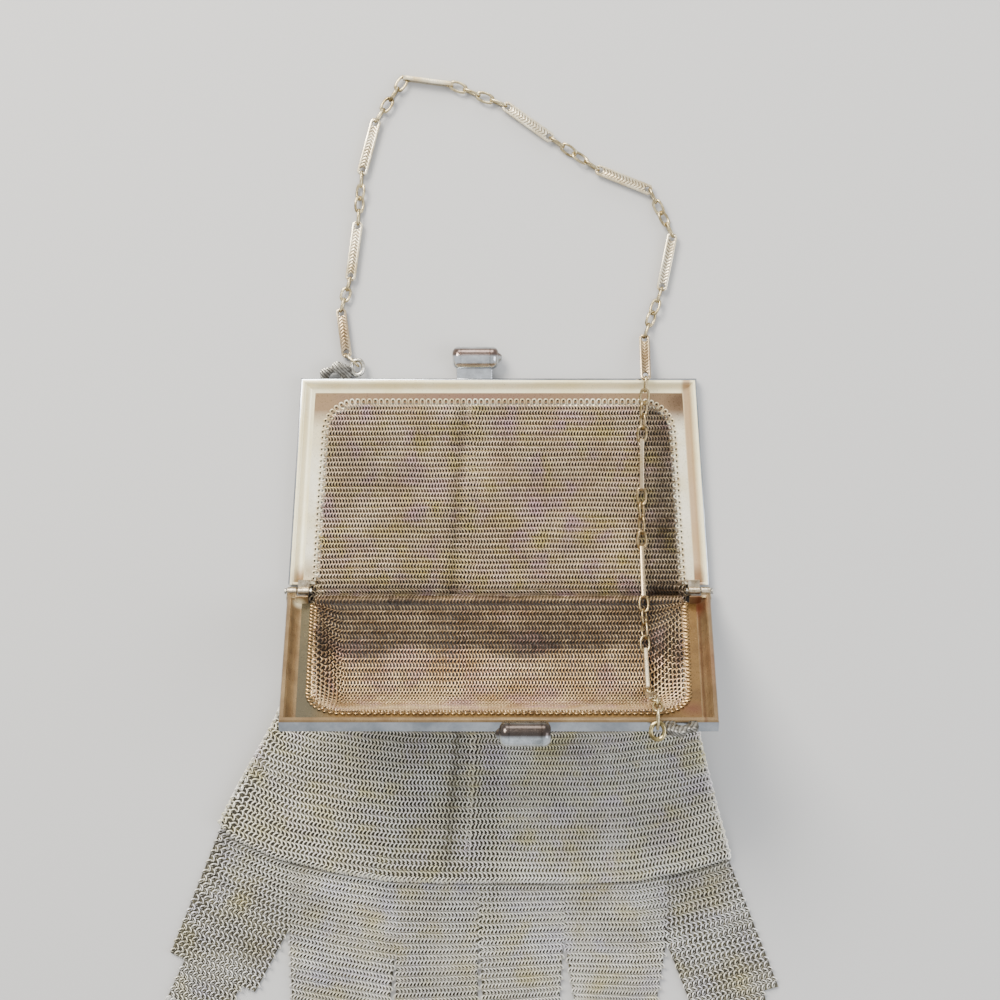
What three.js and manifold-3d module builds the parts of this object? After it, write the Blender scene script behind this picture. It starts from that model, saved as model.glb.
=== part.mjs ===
// Metal mesh purse, lying open on a table: a hinged two-part frame, a ring mesh pouch
// with a fringe of six stepped tabs, and a carrying chain of engraved bars and links.
// Millimetres, +Z up. The back half of the frame lies flat, the front half stands up.
// The origin is the middle of the back rail's flat underside, and +Y points away from the fringe.

import * as THREE from 'three';
import * as BufferGeometryUtils from 'three/addons/utils/BufferGeometryUtils.js';
import Module from 'manifold-3d';

const wasm = await Module();
wasm.setup();

// Frame halves
const hingeWidth = 133;
const railWidth = 124.4;
const frameReach = 66.9;
const frameDepth = 4.2;
const lipWidth = 1.4;
const lipStep = 0.5;
const coveWidth = 3;
const stripThickness = 1.2;
const railSection = 7.6;
const sideSection = 8.4;
const openingRadius = 9;
const frontTilt = THREE.MathUtils.degToRad(60);
const clearance = 0.3;

// Pierced holes for the edge rings, as far in from the opening's edge
const holeDiameter = 0.9;
const holePitch = 1.8;
const holeEdge = 0.9;
const holeStride = 4;
const holeSides = 6;

// Hinges
const knuckleDiameter = 2.4;
const outerKnuckle = 3;
const innerKnuckle = 3.6;
const armEnd = 2;
const pinDiameter = 0.9;
const pinHeadDiameter = 1.9;
const pinHeadThickness = 0.5;

// Clasp barrels
const barrelLength = 14.4;
const barrelDiameter = 7;
const barrelStandoff = 6.4;
const barrelNeck = 11.2;
const barrelNeckThickness = 2.4;
const barrelTip = 1.2;
const barrelTipDiameter = 3.6;
const barrelEndGap = 0.3;

// Cast chain brackets on the rails
const bracketFrom = 56.2;
const bracketLength = 10;
const bracketHeight = 5.4;
const bracketThickness = 1.8;
const archWidth = 3.8;
const archHeight = 1.9;
const footWidth = 2.6;
const eyeCentre = 44.6;
const eyeStandoff = 3.5;
const eyeWidth = 5.1;
const eyeLength = 6;
const eyeWire = 1.3;
const bracketDrop = 1.2;

// Ring mesh
const meshThickness = 1.6;
const panelInset = 1.2;
const creaseSetback = 4.2;
const creaseHeight = 6.6;
const wallGap = 0.9;
const pouchBottom = 90.9;
const skirtLeft = 87.2;
const skirtRight = 72.2;
const joinRise = 18;
const seamWidth = 2;
const riseLeft = 8;
const riseRight = 12;
// How far down the front panel its sides leave the arms for the crease
const armFade = 0.84;
// Where down the front wall the folds begin, stand full, and end
const foldFade = [0.25, 0.5, 0.85, 1];

// Fringe
const fringeGap = 0.4;
const slitWidth = 0.3;
const headerDepth = 22;
const outerEdge = 44.5;
const tabLength = 22.6;
const stepInset = 5;
const secondStep = 12.5;
const thirdStep = 8;

// Chain
const barWidth = 3.2;
const barThickness = 1.3;
const barHole = 1.8;
const barHoleInset = 1.6;
const barCorner = 0.8;
const linkWire = 0.85;
const linkWidth = 3.6;
const endLinkWidth = 4.2;
const linkSides = 10;
const wireSides = 5;
const linkOverlap = 0.06;
const tableGap = 0.05;
const eyeSlack = 0.7;

// Roundness of the turned pieces
const barrelSides = 14;
const knuckleSides = 12;
const boreSides = 8;
const headSides = 10;
const eyeSides = 12;
const cornerSteps = 6;

// A clasp barrel's profile from its blind end: out is a share of the radius, and in is a
// share of the domed end's depth, which is itself a share of the radius
const barrelDomeShare = 0.55;
const barrelDome = [
  { in: 0.03, out: 0.62 },
  { in: 0.35, out: 0.88 },
  { in: 1.0, out: 1.0 },
];

// The bracket's leaf from foot to foot over its top: along is a share of bracketLength
// and up a share of bracketHeight
const leafOutline = [
  { along: 0.04, up: 0.0 },
  { along: 0.0, up: 0.5 },
  { along: 0.09, up: 0.72 },
  { along: 0.36, up: 0.8 },
  { along: 0.42, up: 1.08 },
  { along: 0.62, up: 1.1 },
  { along: 1.0, up: 0.75 },
  { along: 0.97, up: 0.0 },
];

// The arch between the bracket's feet, in shares of archWidth and archHeight
const archOutline = [
  { along: 0.8, up: 0.8 },
  { along: 0.45, up: 1.0 },
  { along: 0.1, up: 0.6 },
];

// The tray's hollow from the pierced floor up: in is a share of the cove's width inside the
// lip, and down a share of the floor's depth
const cove = [
  { in: 1.0, down: 1.0 },
  { in: 0.6, down: 0.87 },
  { in: 0.2, down: 0.55 },
];

// The front panel's drape at mid width, from the rail down to the crease:
// back is a share of the way from the crease to the strip, up a share of the height
const drape = [
  { back: 1.0, up: 1.0 },
  { back: 1.045, up: 0.81 },
  { back: 1.065, up: 0.62 },
  { back: 1.06, up: 0.44 },
  { back: 1.0, up: 0.3 },
  { back: 0.87, up: 0.19 },
  { back: 0.68, up: 0.115 },
  { back: 0.46, up: 0.06 },
  { back: 0.22, up: 0.022 },
  { back: 0.0, up: 0.0 },
];

// The pouch's spread from its mouth's width to the join line's, down its length
const spread = [
  { down: 0.0, left: 0.0, right: 0.0 },
  { down: 0.27, left: 0.19, right: 0.16 },
  { down: 0.54, left: 0.44, right: 0.385 },
  { down: 0.83, left: 0.81, right: 0.755 },
  { down: 1.0, left: 1.0, right: 1.0 },
];

// The join line between pouch and fringe rises at both ends, in shares of joinRise
const joinLine = [
  { across: -1.0, rise: 1.0 },
  { across: -0.96, rise: 0.77 },
  { across: -0.8, rise: 0.41 },
  { across: -0.6, rise: 0.19 },
  { across: -0.4, rise: 0.04 },
  { across: -0.2, rise: 0.0 },
  { across: 0.3, rise: 0.0 },
  { across: 0.6, rise: 0.02 },
  { across: 0.78, rise: 0.14 },
  { across: 0.9, rise: 0.27 },
  { across: 1.0, rise: 0.41 },
];

// Raised folds that run down the front wall: place and half width are shares of its width
const folds = [
  { across: -0.115, half: 0.05, height: 1.2 },
  { across: -0.62, half: 0.12, height: 0.6 },
  { across: 0.5, half: 0.15, height: 0.5 },
];

// Slits between the tabs: drop is a share of headerDepth below the pouch's bottom, and the
// leans in degrees are those of the tab edges to the left and right of the slit
const slits = [
  { across: -0.761, drop: 0.74, leanLeft: -28.5, leanRight: 2.4 },
  { across: -0.372, drop: 1.03, leanLeft: -7, leanRight: -1 },
  { across: -0.072, drop: 0.97, leanLeft: -1.4, leanRight: 3.8 },
  { across: 0.284, drop: 0.886, leanLeft: -3.7, leanRight: 9.8 },
  { across: 0.734, drop: 0.945, leanLeft: -9.5, leanRight: 21.7 },
];
const leftLean = -21.9;
const rightLean = 21.4;

// The chain's route: each bar's tips, its turn about its own length (0 lies flat, 90 stands on
// edge) and the links that follow it. A point is its place across, as a share of the frame's half
// width there, then back from the hinge line and up from where it lies, in shares of frameReach
const chainRoute = [
  { from: [-0.7701, 1.1001, 0], to: [-0.8023, 1.3318, 0], turn: 0, links: 3 },
  { from: [-0.7556, 1.4619, 0], to: [-0.7138, 1.7414, 0], turn: 0, links: 4 },
  { from: [-0.6977, 1.9611, 0], to: [-0.6206, 2.2257, 0], turn: 0, links: 4 },
  { from: [-0.4871, 2.4185, 0], to: [-0.2299, 2.3871, 0], turn: 90, links: 4 },
  { from: [0.0241, 2.2945, 0], to: [0.2733, 2.1286, 0], turn: 0, links: 4 },
  { from: [0.492, 1.991, 0], to: [0.7765, 1.8849, 0], turn: 0, links: 4 },
  { from: [0.8826, 1.6846, 0], to: [0.8232, 1.4141, 0], turn: 0, links: 4 },
  { from: [0.7379, 1.2063, 0.0007], to: [0.7391, 0.9895, 0.074], turn: 0, links: 5 },
  { from: [0.708, 0.7175, 0.0291], to: [0.6963, 0.4694, 0.0291], turn: 90, links: 4 },
  { from: [0.6847, 0.2152, 0.0306], to: [0.6821, -0.0344, 0.1158], turn: 90, links: 4 },
  { from: [0.6944, -0.2631, 0.1652], to: [0.7027, -0.4395, 0.346], turn: 90, links: 3 },
  { from: [0.7051, -0.4335, 0.4836], to: [0.7141, -0.4335, 0.7197], turn: 0, links: 5 },
];
// The points that the last links pass on their way over the rail to the front eye
const chainTop = [
  [0.7143, -0.429, 0.7661],
  [0.7168, -0.426, 0.8259],
  [0.7179, -0.4305, 0.8857],
  [0.7186, -0.4544, 0.9395],
];

// How far a merged face may lie from the ones it replaces
const flatness = 0.03;

// Small helpers

function shareAt(rows, key, at, value) {
  if (at <= rows[0][key]) return rows[0][value];
  for (let i = 1; i < rows.length; i++) {
    if (at <= rows[i][key]) {
      const part = (at - rows[i - 1][key]) / (rows[i][key] - rows[i - 1][key]);
      return THREE.MathUtils.lerp(rows[i - 1][value], rows[i][value], part);
    }
  }
  return rows[rows.length - 1][value];
}

function toSolid(geometry) {
  const bare = geometry.clone();
  bare.deleteAttribute('normal');
  bare.deleteAttribute('uv');
  const merged = BufferGeometryUtils.mergeVertices(bare, 1e-5);
  return new wasm.Manifold(new wasm.Mesh({
    numProp: 3,
    vertProperties: new Float32Array(merged.attributes.position.array),
    triVerts: new Uint32Array(merged.index.array),
  }));
}

function toGeometry(solid) {
  const mesh = solid.getMesh();
  const geometry = new THREE.BufferGeometry();
  geometry.setAttribute('position', new THREE.BufferAttribute(new Float32Array(mesh.vertProperties), 3));
  geometry.setIndex(new THREE.BufferAttribute(new Uint32Array(mesh.triVerts), 1));
  geometry.computeVertexNormals();
  return geometry;
}

function join(geometries) {
  const solids = geometries.map(toSolid);
  return solids.slice(1).reduce((whole, solid) => whole.add(solid), solids[0]);
}

// The same solid with nearly flat faces merged and no sealed pocket where two wires meet
function plainer(solid) {
  const shells = solid.simplify(flatness).decompose();
  return shells.reduce((most, shell) => (shell.volume() > most.volume() ? shell : most));
}

function cut(solid, geometries) {
  return geometries.length ? solid.subtract(join(geometries)) : solid;
}

function prism(points, low, high) {
  const shape = new THREE.Shape(points.map(([x, y]) => new THREE.Vector2(x, y)));
  const geometry = new THREE.ExtrudeGeometry(shape, { depth: high - low, bevelEnabled: false });
  return geometry.translate(0, 0, low);
}

function box(x0, x1, y0, y1, z0, z1) {
  const geometry = new THREE.BoxGeometry(x1 - x0, y1 - y0, z1 - z0);
  return geometry.translate((x0 + x1) / 2, (y0 + y1) / 2, (z0 + z1) / 2);
}

function rodAlongX(x0, x1, radius, sides) {
  const geometry = new THREE.CylinderGeometry(radius, radius, x1 - x0, sides);
  return geometry.rotateZ(Math.PI / 2).translate((x0 + x1) / 2, 0, 0);
}

// A closed skin over a grid of top points and a grid of bottom points, rows by columns
function slab(top, bottom) {
  const rows = top.length;
  const columns = top[0].length;
  const positions = [...top.flat(), ...bottom.flat()].flatMap((p) => [p.x, p.y, p.z]);
  const under = rows * columns;
  const index = [];
  const quad = (a, b, c, d) => index.push(a, b, c, a, c, d);
  for (let r = 0; r < rows - 1; r++) {
    for (let c = 0; c < columns - 1; c++) {
      const i = r * columns + c;
      quad(i, i + columns, i + columns + 1, i + 1);
      quad(under + i, under + i + 1, under + i + columns + 1, under + i + columns);
    }
  }
  for (let r = 0; r < rows - 1; r++) {
    const left = r * columns;
    const right = left + columns - 1;
    quad(left, under + left, under + left + columns, left + columns);
    quad(right, right + columns, under + right + columns, under + right);
  }
  for (let c = 0; c < columns - 1; c++) {
    const last = (rows - 1) * columns + c;
    quad(c, c + 1, under + c + 1, under + c);
    quad(last, under + last, under + last + 1, last + 1);
  }
  const geometry = new THREE.BufferGeometry();
  geometry.setAttribute('position', new THREE.BufferAttribute(new Float32Array(positions), 3));
  geometry.setIndex(index);
  return geometry;
}

// Top and bottom grids on both sides of a middle surface
function thicken(middle, thickness) {
  const rows = middle.length;
  const columns = middle[0].length;
  const offset = (sign) => middle.map((row, r) => row.map((point, c) => {
    const down = middle[Math.min(r + 1, rows - 1)][c].clone().sub(middle[Math.max(r - 1, 0)][c]);
    const across = middle[r][Math.min(c + 1, columns - 1)].clone().sub(middle[r][Math.max(c - 1, 0)]);
    const normal = down.cross(across).normalize();
    return point.clone().addScaledVector(normal, sign * thickness / 2);
  }));
  return slab(offset(1), offset(-1));
}

function addPart(parent, name, geometry, color, roughness) {
  const material = new THREE.MeshStandardMaterial({ color, roughness, metalness: 1 });
  const mesh = new THREE.Mesh(geometry, material);
  mesh.name = name;
  parent.add(mesh);
  return mesh;
}

// Frame outlines, in a half's own frame: hinge axis along X at the origin,
// rail toward +Y, lip plane at z = 0 and outer face at z = -frameDepth

function sideAt(reach) {
  return (hingeWidth + (railWidth - hingeWidth) * reach / frameReach) / 2;
}

// Half the opening's width at a reach, with its corners rounded
function openingAt(reach, inset) {
  const radius = openingRadius + holeEdge - inset;
  const top = frameReach - railSection + holeEdge - inset;
  const side = sideAt(reach) - sideSection + holeEdge - inset;
  const past = reach - (top - radius);
  if (past <= 0) return side;
  return side - radius + Math.sqrt(Math.max(radius * radius - past * past, 0));
}

// The opening's outline, inset from the row of holes, from the hinge up and round
function openingOutline(inset, start) {
  const radius = openingRadius + holeEdge - inset;
  const top = frameReach - railSection + holeEdge - inset;
  const right = [];
  right.push([openingAt(start, inset), start]);
  for (let i = 0; i <= cornerSteps; i++) {
    const angle = (Math.PI / 2) * (i / cornerSteps);
    const reach = top - radius + radius * Math.sin(angle);
    const side = sideAt(reach) - sideSection + holeEdge - inset - radius;
    right.push([side + radius * Math.cos(angle), reach]);
  }
  const left = right.map(([x, y]) => [-x, y]).reverse();
  return [...right, ...left];
}

// Frame half

function trayOutline(inset, start) {
  const rail = frameReach - inset;
  return [[-sideAt(start) + inset, start], [sideAt(start) - inset, start],
    [sideAt(rail) - inset, rail], [-sideAt(rail) + inset, rail]];
}

// The hollow of the tray: a flat floor, a concave cove and a step under the flat lip
function trayHollow() {
  const floor = -(frameDepth - stripThickness);
  const levels = [
    ...cove.map((row) => ({ inset: lipWidth + coveWidth * row.in, z: floor * row.down })),
    { inset: lipWidth, z: -lipStep },
    { inset: lipWidth, z: lipStep },
  ];
  const rings = levels.map(({ inset, z }) => trayOutline(inset, -armEnd)
    .map(([x, y]) => new THREE.Vector3(x, y, z)));
  const positions = rings.flat().flatMap((p) => [p.x, p.y, p.z]);
  const index = [];
  for (let r = 0; r < rings.length - 1; r++) {
    for (let c = 0; c < 4; c++) {
      const a = r * 4 + c;
      const b = r * 4 + (c + 1) % 4;
      index.push(a, b, b + 4, a, b + 4, a + 4);
    }
  }
  const last = (rings.length - 1) * 4;
  index.push(0, 2, 1, 0, 3, 2);
  index.push(last, last + 1, last + 2, last, last + 2, last + 3);
  const geometry = new THREE.BufferGeometry();
  geometry.setAttribute('position', new THREE.BufferAttribute(new Float32Array(positions), 3));
  geometry.setIndex(index);
  return geometry;
}

function holeCutters() {
  const outline = openingOutline(0, armEnd + holePitch);
  const path = new THREE.CurvePath();
  for (let i = 0; i < outline.length - 1; i++) {
    path.add(new THREE.LineCurve(new THREE.Vector2(...outline[i]), new THREE.Vector2(...outline[i + 1])));
  }
  const count = Math.floor(path.getLength() / (holePitch * holeStride));
  const cutters = [];
  for (let i = 0; i <= count; i++) {
    const place = path.getPointAt(i / count);
    const cutter = new THREE.CylinderGeometry(holeDiameter / 2, holeDiameter / 2, frameDepth * 2, holeSides);
    cutters.push(cutter.rotateX(Math.PI / 2).translate(place.x, place.y, -frameDepth));
  }
  return cutters;
}

// One barrel of the clasp, with domed ends, a tip at its right end and a flat neck to the rail
function barrelPieces(right) {
  const radius = barrelDiameter / 2;
  const dome = radius * barrelDomeShare;
  const blindEnd = barrelDome.map((row) => [radius * row.out, dome * row.in]);
  const tipEnd = barrelDome.slice(1).map((row) => [radius * row.out, barrelLength - dome * row.in]);
  const profile = [[0, 0], ...blindEnd, ...tipEnd.reverse(), [barrelTipDiameter / 2, barrelLength],
    [barrelTipDiameter / 3, barrelLength + barrelTip * barrelDomeShare],
    [0, barrelLength + barrelTip]].map(([x, y]) => new THREE.Vector2(x, y));
  const barrel = new THREE.LatheGeometry(profile, barrelSides);
  barrel.rotateZ(-Math.PI / 2);
  barrel.translate(right - barrelLength, frameReach + barrelStandoff, 0);
  const neckEnd = right - dome;
  const neck = box(neckEnd - barrelNeck, neckEnd, frameReach - lipWidth / 2,
    frameReach + barrelStandoff, -barrelNeckThickness - lipStep, -lipStep);
  return [barrel, neck];
}

// A closed oval or round ring of wire, centred on the origin in the XY plane. Its two ends
// are straight facets, so that a neighbour crosses one edge of the wire cleanly
function wireRing(length, width, wire, around, sides) {
  const positions = [];
  const index = [];
  for (let i = 0; i < around; i++) {
    const turn = 2 * Math.PI * (i + 0.5) / around;
    for (let k = 0; k < sides; k++) {
      const round = 2 * Math.PI * k / sides;
      const out = (Math.cos(round) - 1) * wire / 2;
      positions.push(Math.cos(turn) * (length / 2 + out), Math.sin(turn) * (width / 2 + out),
        Math.sin(round) * wire / 2);
      const next = ((i + 1) % around) * sides;
      const side = (k + 1) % sides;
      index.push(i * sides + k, next + k, next + side, i * sides + k, next + side, i * sides + side);
    }
  }
  const ring = new THREE.BufferGeometry();
  ring.setAttribute('position', new THREE.BufferAttribute(new Float32Array(positions), 3));
  ring.setIndex(index);
  return ring;
}

// The cast bracket: a leaf on two feet with an arch between them, and an eye for the chain
function bracketPieces(eyeTilt) {
  const foot = frameReach - lipWidth / 2;
  const archFrom = -bracketFrom + footWidth;
  const leafPoints = leafOutline.map((row) => (
    [-bracketFrom + bracketLength * row.along, foot + bracketHeight * row.up]));
  const archPoints = archOutline.map((row) => (
    [archFrom + archWidth * row.along, frameReach + archHeight * row.up]));
  const leaf = prism([...leafPoints, [archFrom + archWidth, foot], ...archPoints, [archFrom, foot]],
    -bracketDrop - bracketThickness / 2, -bracketDrop + bracketThickness / 2);
  const eye = wireRing(eyeLength, eyeWidth, eyeWire, eyeSides, wireSides);
  eye.rotateZ(Math.PI / 2).rotateX(eyeTilt);
  eye.translate(-eyeCentre, frameReach + eyeStandoff, -bracketDrop);
  return [leaf, eye];
}

function knucklePieces(inner, outer, sign) {
  const radius = knuckleDiameter / 2;
  const low = Math.min(sign * inner, sign * outer);
  const high = Math.max(sign * inner, sign * outer);
  const rod = rodAlongX(low, high, radius, knuckleSides);
  const web = box(low, high, 0, armEnd + lipWidth, stripThickness / 2 - frameDepth, -clearance);
  return [rod, web];
}

function pinBore(sign) {
  const inner = sideAt(0) - outerKnuckle - innerKnuckle - 2 * clearance;
  const ends = [sign * (inner - clearance), sign * (sideAt(0) + clearance)];
  return rodAlongX(Math.min(...ends), Math.max(...ends), pinDiameter / 2 + clearance, boreSides);
}

function frameHalf({ barrelRight, knuckles, eyeTilt }) {
  const body = cut(toSolid(prism(trayOutline(0, armEnd), -frameDepth, 0)), [trayHollow(),
    prism(openingOutline(holeEdge, -armEnd), -frameDepth * 2, frameDepth)]);
  const fittings = [...barrelPieces(barrelRight), ...bracketPieces(eyeTilt)];
  for (const sign of [-1, 1]) fittings.push(...knucklePieces(knuckles.inner, knuckles.outer, sign));
  const whole = body.add(join(fittings));
  return toGeometry(cut(whole, [...holeCutters(), pinBore(-1), pinBore(1)]));
}

// Pouch surfaces, in the purse's frame: hinge axis at y = 0, z = frameDepth, table at z = 0

const backWallMiddle = meshThickness / 2;
const frontWallMiddle = meshThickness * 1.5 + wallGap;
const panelTop = frameReach - railSection - panelInset;
const stripMiddle = frameDepth - stripThickness / 2;

function edgeAt(reach) {
  return openingAt(reach, holeEdge + panelInset);
}

// A point on the raised front half, at a reach from the hinge and a depth below its lip
function frontPoint(reach, depth) {
  return {
    y: -reach * Math.cos(frontTilt) - depth * Math.sin(frontTilt),
    z: frameDepth + reach * Math.sin(frontTilt) - depth * Math.cos(frontTilt),
  };
}

const stripPoint = frontPoint(panelTop, stripMiddle);
const drapeRows = drape.map((row, i) => ({ along: i / (drape.length - 1), ...row }));

function drapePoint(along) {
  const back = shareAt(drapeRows, 'along', along, 'back');
  const up = shareAt(drapeRows, 'along', along, 'up');
  return {
    y: THREE.MathUtils.lerp(-creaseSetback, stripPoint.y, back),
    z: THREE.MathUtils.lerp(creaseHeight, stripPoint.z, up),
  };
}

// The panel inside the front half: draped at mid width, drawn up to the arms at its sides
function innerPoint(share, along) {
  const reach = panelTop * (1 - along);
  const edge = edgeAt(reach);
  const x = share * edge;
  const middle = drapePoint(along);
  const arm = frontPoint(reach, stripMiddle);
  const fade = THREE.MathUtils.smoothstep(along, armFade, 1);
  const armY = THREE.MathUtils.lerp(arm.y, -creaseSetback, fade);
  const armZ = THREE.MathUtils.lerp(arm.z, creaseHeight, fade);
  const rise = share < 0 ? riseLeft : riseRight;
  const near = Math.max(1 - (edge - Math.abs(x)) / rise, 0);
  const pull = near * near;
  return new THREE.Vector3(x, THREE.MathUtils.lerp(middle.y, armY, pull),
    THREE.MathUtils.lerp(middle.z, armZ, pull));
}

function pouchX(share, down) {
  const mouth = edgeAt(0);
  const side = share < 0 ? 'left' : 'right';
  const full = share < 0 ? skirtLeft : skirtRight;
  return share * THREE.MathUtils.lerp(mouth, full, shareAt(spread, 'down', down, side));
}

function joinY(share) {
  return -pouchBottom + joinRise * shareAt(joinLine, 'across', share, 'rise');
}

function foldHeight(share) {
  return folds.reduce((sum, { across, half, height }) => {
    const away = Math.min(Math.abs(share - across) / half, 1);
    return sum + height * (1 + Math.cos(Math.PI * away)) / 2;
  }, 0);
}

function wallPoint(share, down, z) {
  const y = THREE.MathUtils.lerp(-creaseSetback, joinY(share), down);
  return new THREE.Vector3(pouchX(share, down), y, z);
}

// The front wall's folds fade in below the frame and out at the join line
function frontWallPoint(share, down) {
  const [begin, full, wane, end] = foldFade;
  const fadeIn = THREE.MathUtils.smoothstep(down, begin, full);
  const fadeOut = 1 - THREE.MathUtils.smoothstep(down, wane, end);
  return wallPoint(share, down, frontWallMiddle + fadeIn * fadeOut * foldHeight(share));
}

const panelShares = [-1, -0.96, -0.91, -0.85, -0.74, -0.62, -0.5, -0.3, -0.165, -0.115, -0.065,
  0.15, 0.35, 0.5, 0.65, 0.77, 0.85, 0.92, 1];
const drapeSteps = [0, 0.06, 0.12, 0.2, 0.3, 0.39, 0.48, 0.56, 0.65, 0.75, 0.84, 0.92];
const foldSteps = 5;
const wallSteps = [0.12, 0.25, 0.36, 0.48, 0.6, 0.72, 0.84, 0.92, 1];

// The front panel is one sheet: draped inside the frame, folded over at the crease,
// and lying back under itself as the pouch's front wall
function frontPanel() {
  const rows = drapeSteps.map((along) => panelShares.map((share) => innerPoint(share, along)));
  const radius = (creaseHeight - frontWallMiddle) / 2;
  for (let i = 0; i <= foldSteps; i++) {
    const angle = Math.PI / 2 - Math.PI * (i / foldSteps);
    rows.push(panelShares.map((share) => new THREE.Vector3(pouchX(share, 0),
      -creaseSetback + radius * Math.cos(angle), frontWallMiddle + radius + radius * Math.sin(angle))));
  }
  for (const down of wallSteps) rows.push(panelShares.map((share) => frontWallPoint(share, down)));
  return thicken(rows, meshThickness);
}

const backShares = [-1, -0.8, -0.5, -0.115, 0.3, 0.6, 0.8, 1];

// The back panel lies on the table, in the back half's opening and on under the front wall
function backPanel() {
  const reaches = [panelTop, panelTop - openingRadius * 0.12, panelTop - openingRadius * 0.35,
    panelTop - openingRadius * 0.7, panelTop - openingRadius, panelTop / 2, 0];
  const rows = reaches.map((reach) => backShares.map((share) => new THREE.Vector3(
    share * edgeAt(reach), reach, backWallMiddle)));
  for (const down of [0, ...wallSteps]) {
    rows.push(backShares.map((share) => wallPoint(share, down, backWallMiddle)));
  }
  return thicken(rows, meshThickness);
}

// Seams that close the pouch at its sides and along the join line
function seamBlock(shares, downs) {
  const grid = (z) => downs.map((down) => shares.map((share) => wallPoint(share, down, z)));
  return slab(grid(frontWallMiddle), grid(backWallMiddle));
}

function pouch() {
  const seam = 1 - seamWidth / skirtLeft;
  const left = seamBlock([-1, -seam], wallSteps);
  const right = seamBlock([seam, 1], wallSteps);
  const bottom = seamBlock(panelShares, [1 - seamWidth / pouchBottom, 1]);
  return toGeometry(plainer(join([frontPanel(), backPanel(), left, right, bottom])));
}

// Fringe: one flat sheet below the join line, slit into tabs with stepped ends

function ahead(point, lean, length) {
  const angle = THREE.MathUtils.degToRad(lean);
  return [point[0] + length * Math.sin(angle), point[1] - length * Math.cos(angle)];
}

function between(a, b, share) {
  return [THREE.MathUtils.lerp(a[0], b[0], share), THREE.MathUtils.lerp(a[1], b[1], share)];
}

// The stepped end of a tab, from its lower right corner to its lower left one
function tabEnd(right, left) {
  const width = Math.hypot(right[0] - left[0], right[1] - left[1]);
  const tilt = THREE.MathUtils.radToDeg(Math.atan2(right[1] - left[1], right[0] - left[0]));
  const inset = stepInset / width;
  const second = [between(right, left, inset), between(right, left, 1 - inset)];
  const low = second.map((point) => ahead(point, tilt, secondStep));
  const innerShare = stepInset / (width - 2 * stepInset);
  const third = [between(low[0], low[1], innerShare), between(low[0], low[1], 1 - innerShare)];
  const tip = third.map((point) => ahead(point, tilt, thirdStep));
  return [right, second[0], low[0], third[0], tip[0], tip[1], third[1], low[1], second[1], left];
}

function fringe() {
  const top = joinLine.map(({ across }) => [pouchX(across, 1), joinY(across) - fringeGap]);
  const apexes = slits.map(({ across, drop }) => [
    across * (across < 0 ? skirtLeft : skirtRight), -pouchBottom - drop * headerDepth]);
  const leftCorner = ahead(top[0], leftLean, outerEdge);
  const rightCorner = ahead(top[top.length - 1], rightLean, outerEdge);
  const outline = [...top];
  for (let i = slits.length; i >= 0; i--) {
    const right = i === slits.length ? rightCorner : ahead(apexes[i], slits[i].leanLeft, tabLength);
    const left = i === 0 ? leftCorner : ahead(apexes[i - 1], slits[i - 1].leanRight, tabLength);
    outline.push(...tabEnd(right, left));
    if (i > 0) {
      const [x, y] = apexes[i - 1];
      outline.push([x + slitWidth / 2, y], [x - slitWidth / 2, y]);
    }
  }
  return prism(outline.reverse(), 0, meshThickness);
}

// Chain

// A frame whose X runs along a piece and whose Z is its face, turned about its length
function pieceFrame(from, to, turn) {
  const x = new THREE.Vector3().subVectors(to, from).normalize();
  const up = Math.abs(x.z) > 0.9 ? new THREE.Vector3(0, 1, 0) : new THREE.Vector3(0, 0, 1);
  const y = new THREE.Vector3().crossVectors(up, x).normalize();
  const z = new THREE.Vector3().crossVectors(x, y);
  const centre = new THREE.Vector3().addVectors(from, to).multiplyScalar(0.5);
  const basis = new THREE.Matrix4().makeBasis(x, y, z).setPosition(centre);
  return basis.multiply(new THREE.Matrix4().makeRotationX(THREE.MathUtils.degToRad(turn)));
}

function barPiece(from, to, turn) {
  const half = from.distanceTo(to) / 2;
  const side = barWidth / 2;
  const shape = new THREE.Shape([[-half, -side + barCorner], [-half + barCorner, -side],
    [half - barCorner, -side], [half, -side + barCorner], [half, side - barCorner],
    [half - barCorner, side], [-half + barCorner, side], [-half, side - barCorner]]
    .map(([x, y]) => new THREE.Vector2(x, y)));
  for (const sign of [-1, 1]) {
    const hole = new THREE.Path();
    for (let i = 0; i < 6; i++) {
      const angle = -i * Math.PI / 3;
      const x = sign * (half - barHoleInset) + barHole / 2 * Math.cos(angle);
      const y = barHole / 2 * Math.sin(angle);
      if (i === 0) hole.moveTo(x, y);
      else hole.lineTo(x, y);
    }
    hole.closePath();
    shape.holes.push(hole);
  }
  const geometry = new THREE.ExtrudeGeometry(shape, { depth: barThickness, bevelEnabled: false });
  return geometry.translate(0, 0, -barThickness / 2).applyMatrix4(pieceFrame(from, to, turn));
}

// A link between two junctions, reaching a wire past each of them
function linkPiece(from, to, turn, width) {
  const length = from.distanceTo(to) + 2 * linkWire - linkOverlap;
  const ring = wireRing(length, width, linkWire, linkSides, wireSides);
  return ring.applyMatrix4(pieceFrame(from, to, turn));
}

// The turns of a run of links, a quarter turn apart or as near as its two ends allow
function linkTurns(first, last, count) {
  if (count < 2) return [first];
  const quarter = 90 * (count - 1);
  const total = last - first + 180 * Math.round((quarter - (last - first)) / 180);
  return Array.from({ length: count }, (_, i) => first + total * i / (count - 1));
}

// Where a bar's end holds its link: the far side of its hole
function barJunction(tip, other) {
  const inward = new THREE.Vector3().subVectors(other, tip).normalize();
  return tip.clone().addScaledVector(inward, barHoleInset - barHole / 2 - linkOverlap);
}

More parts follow.
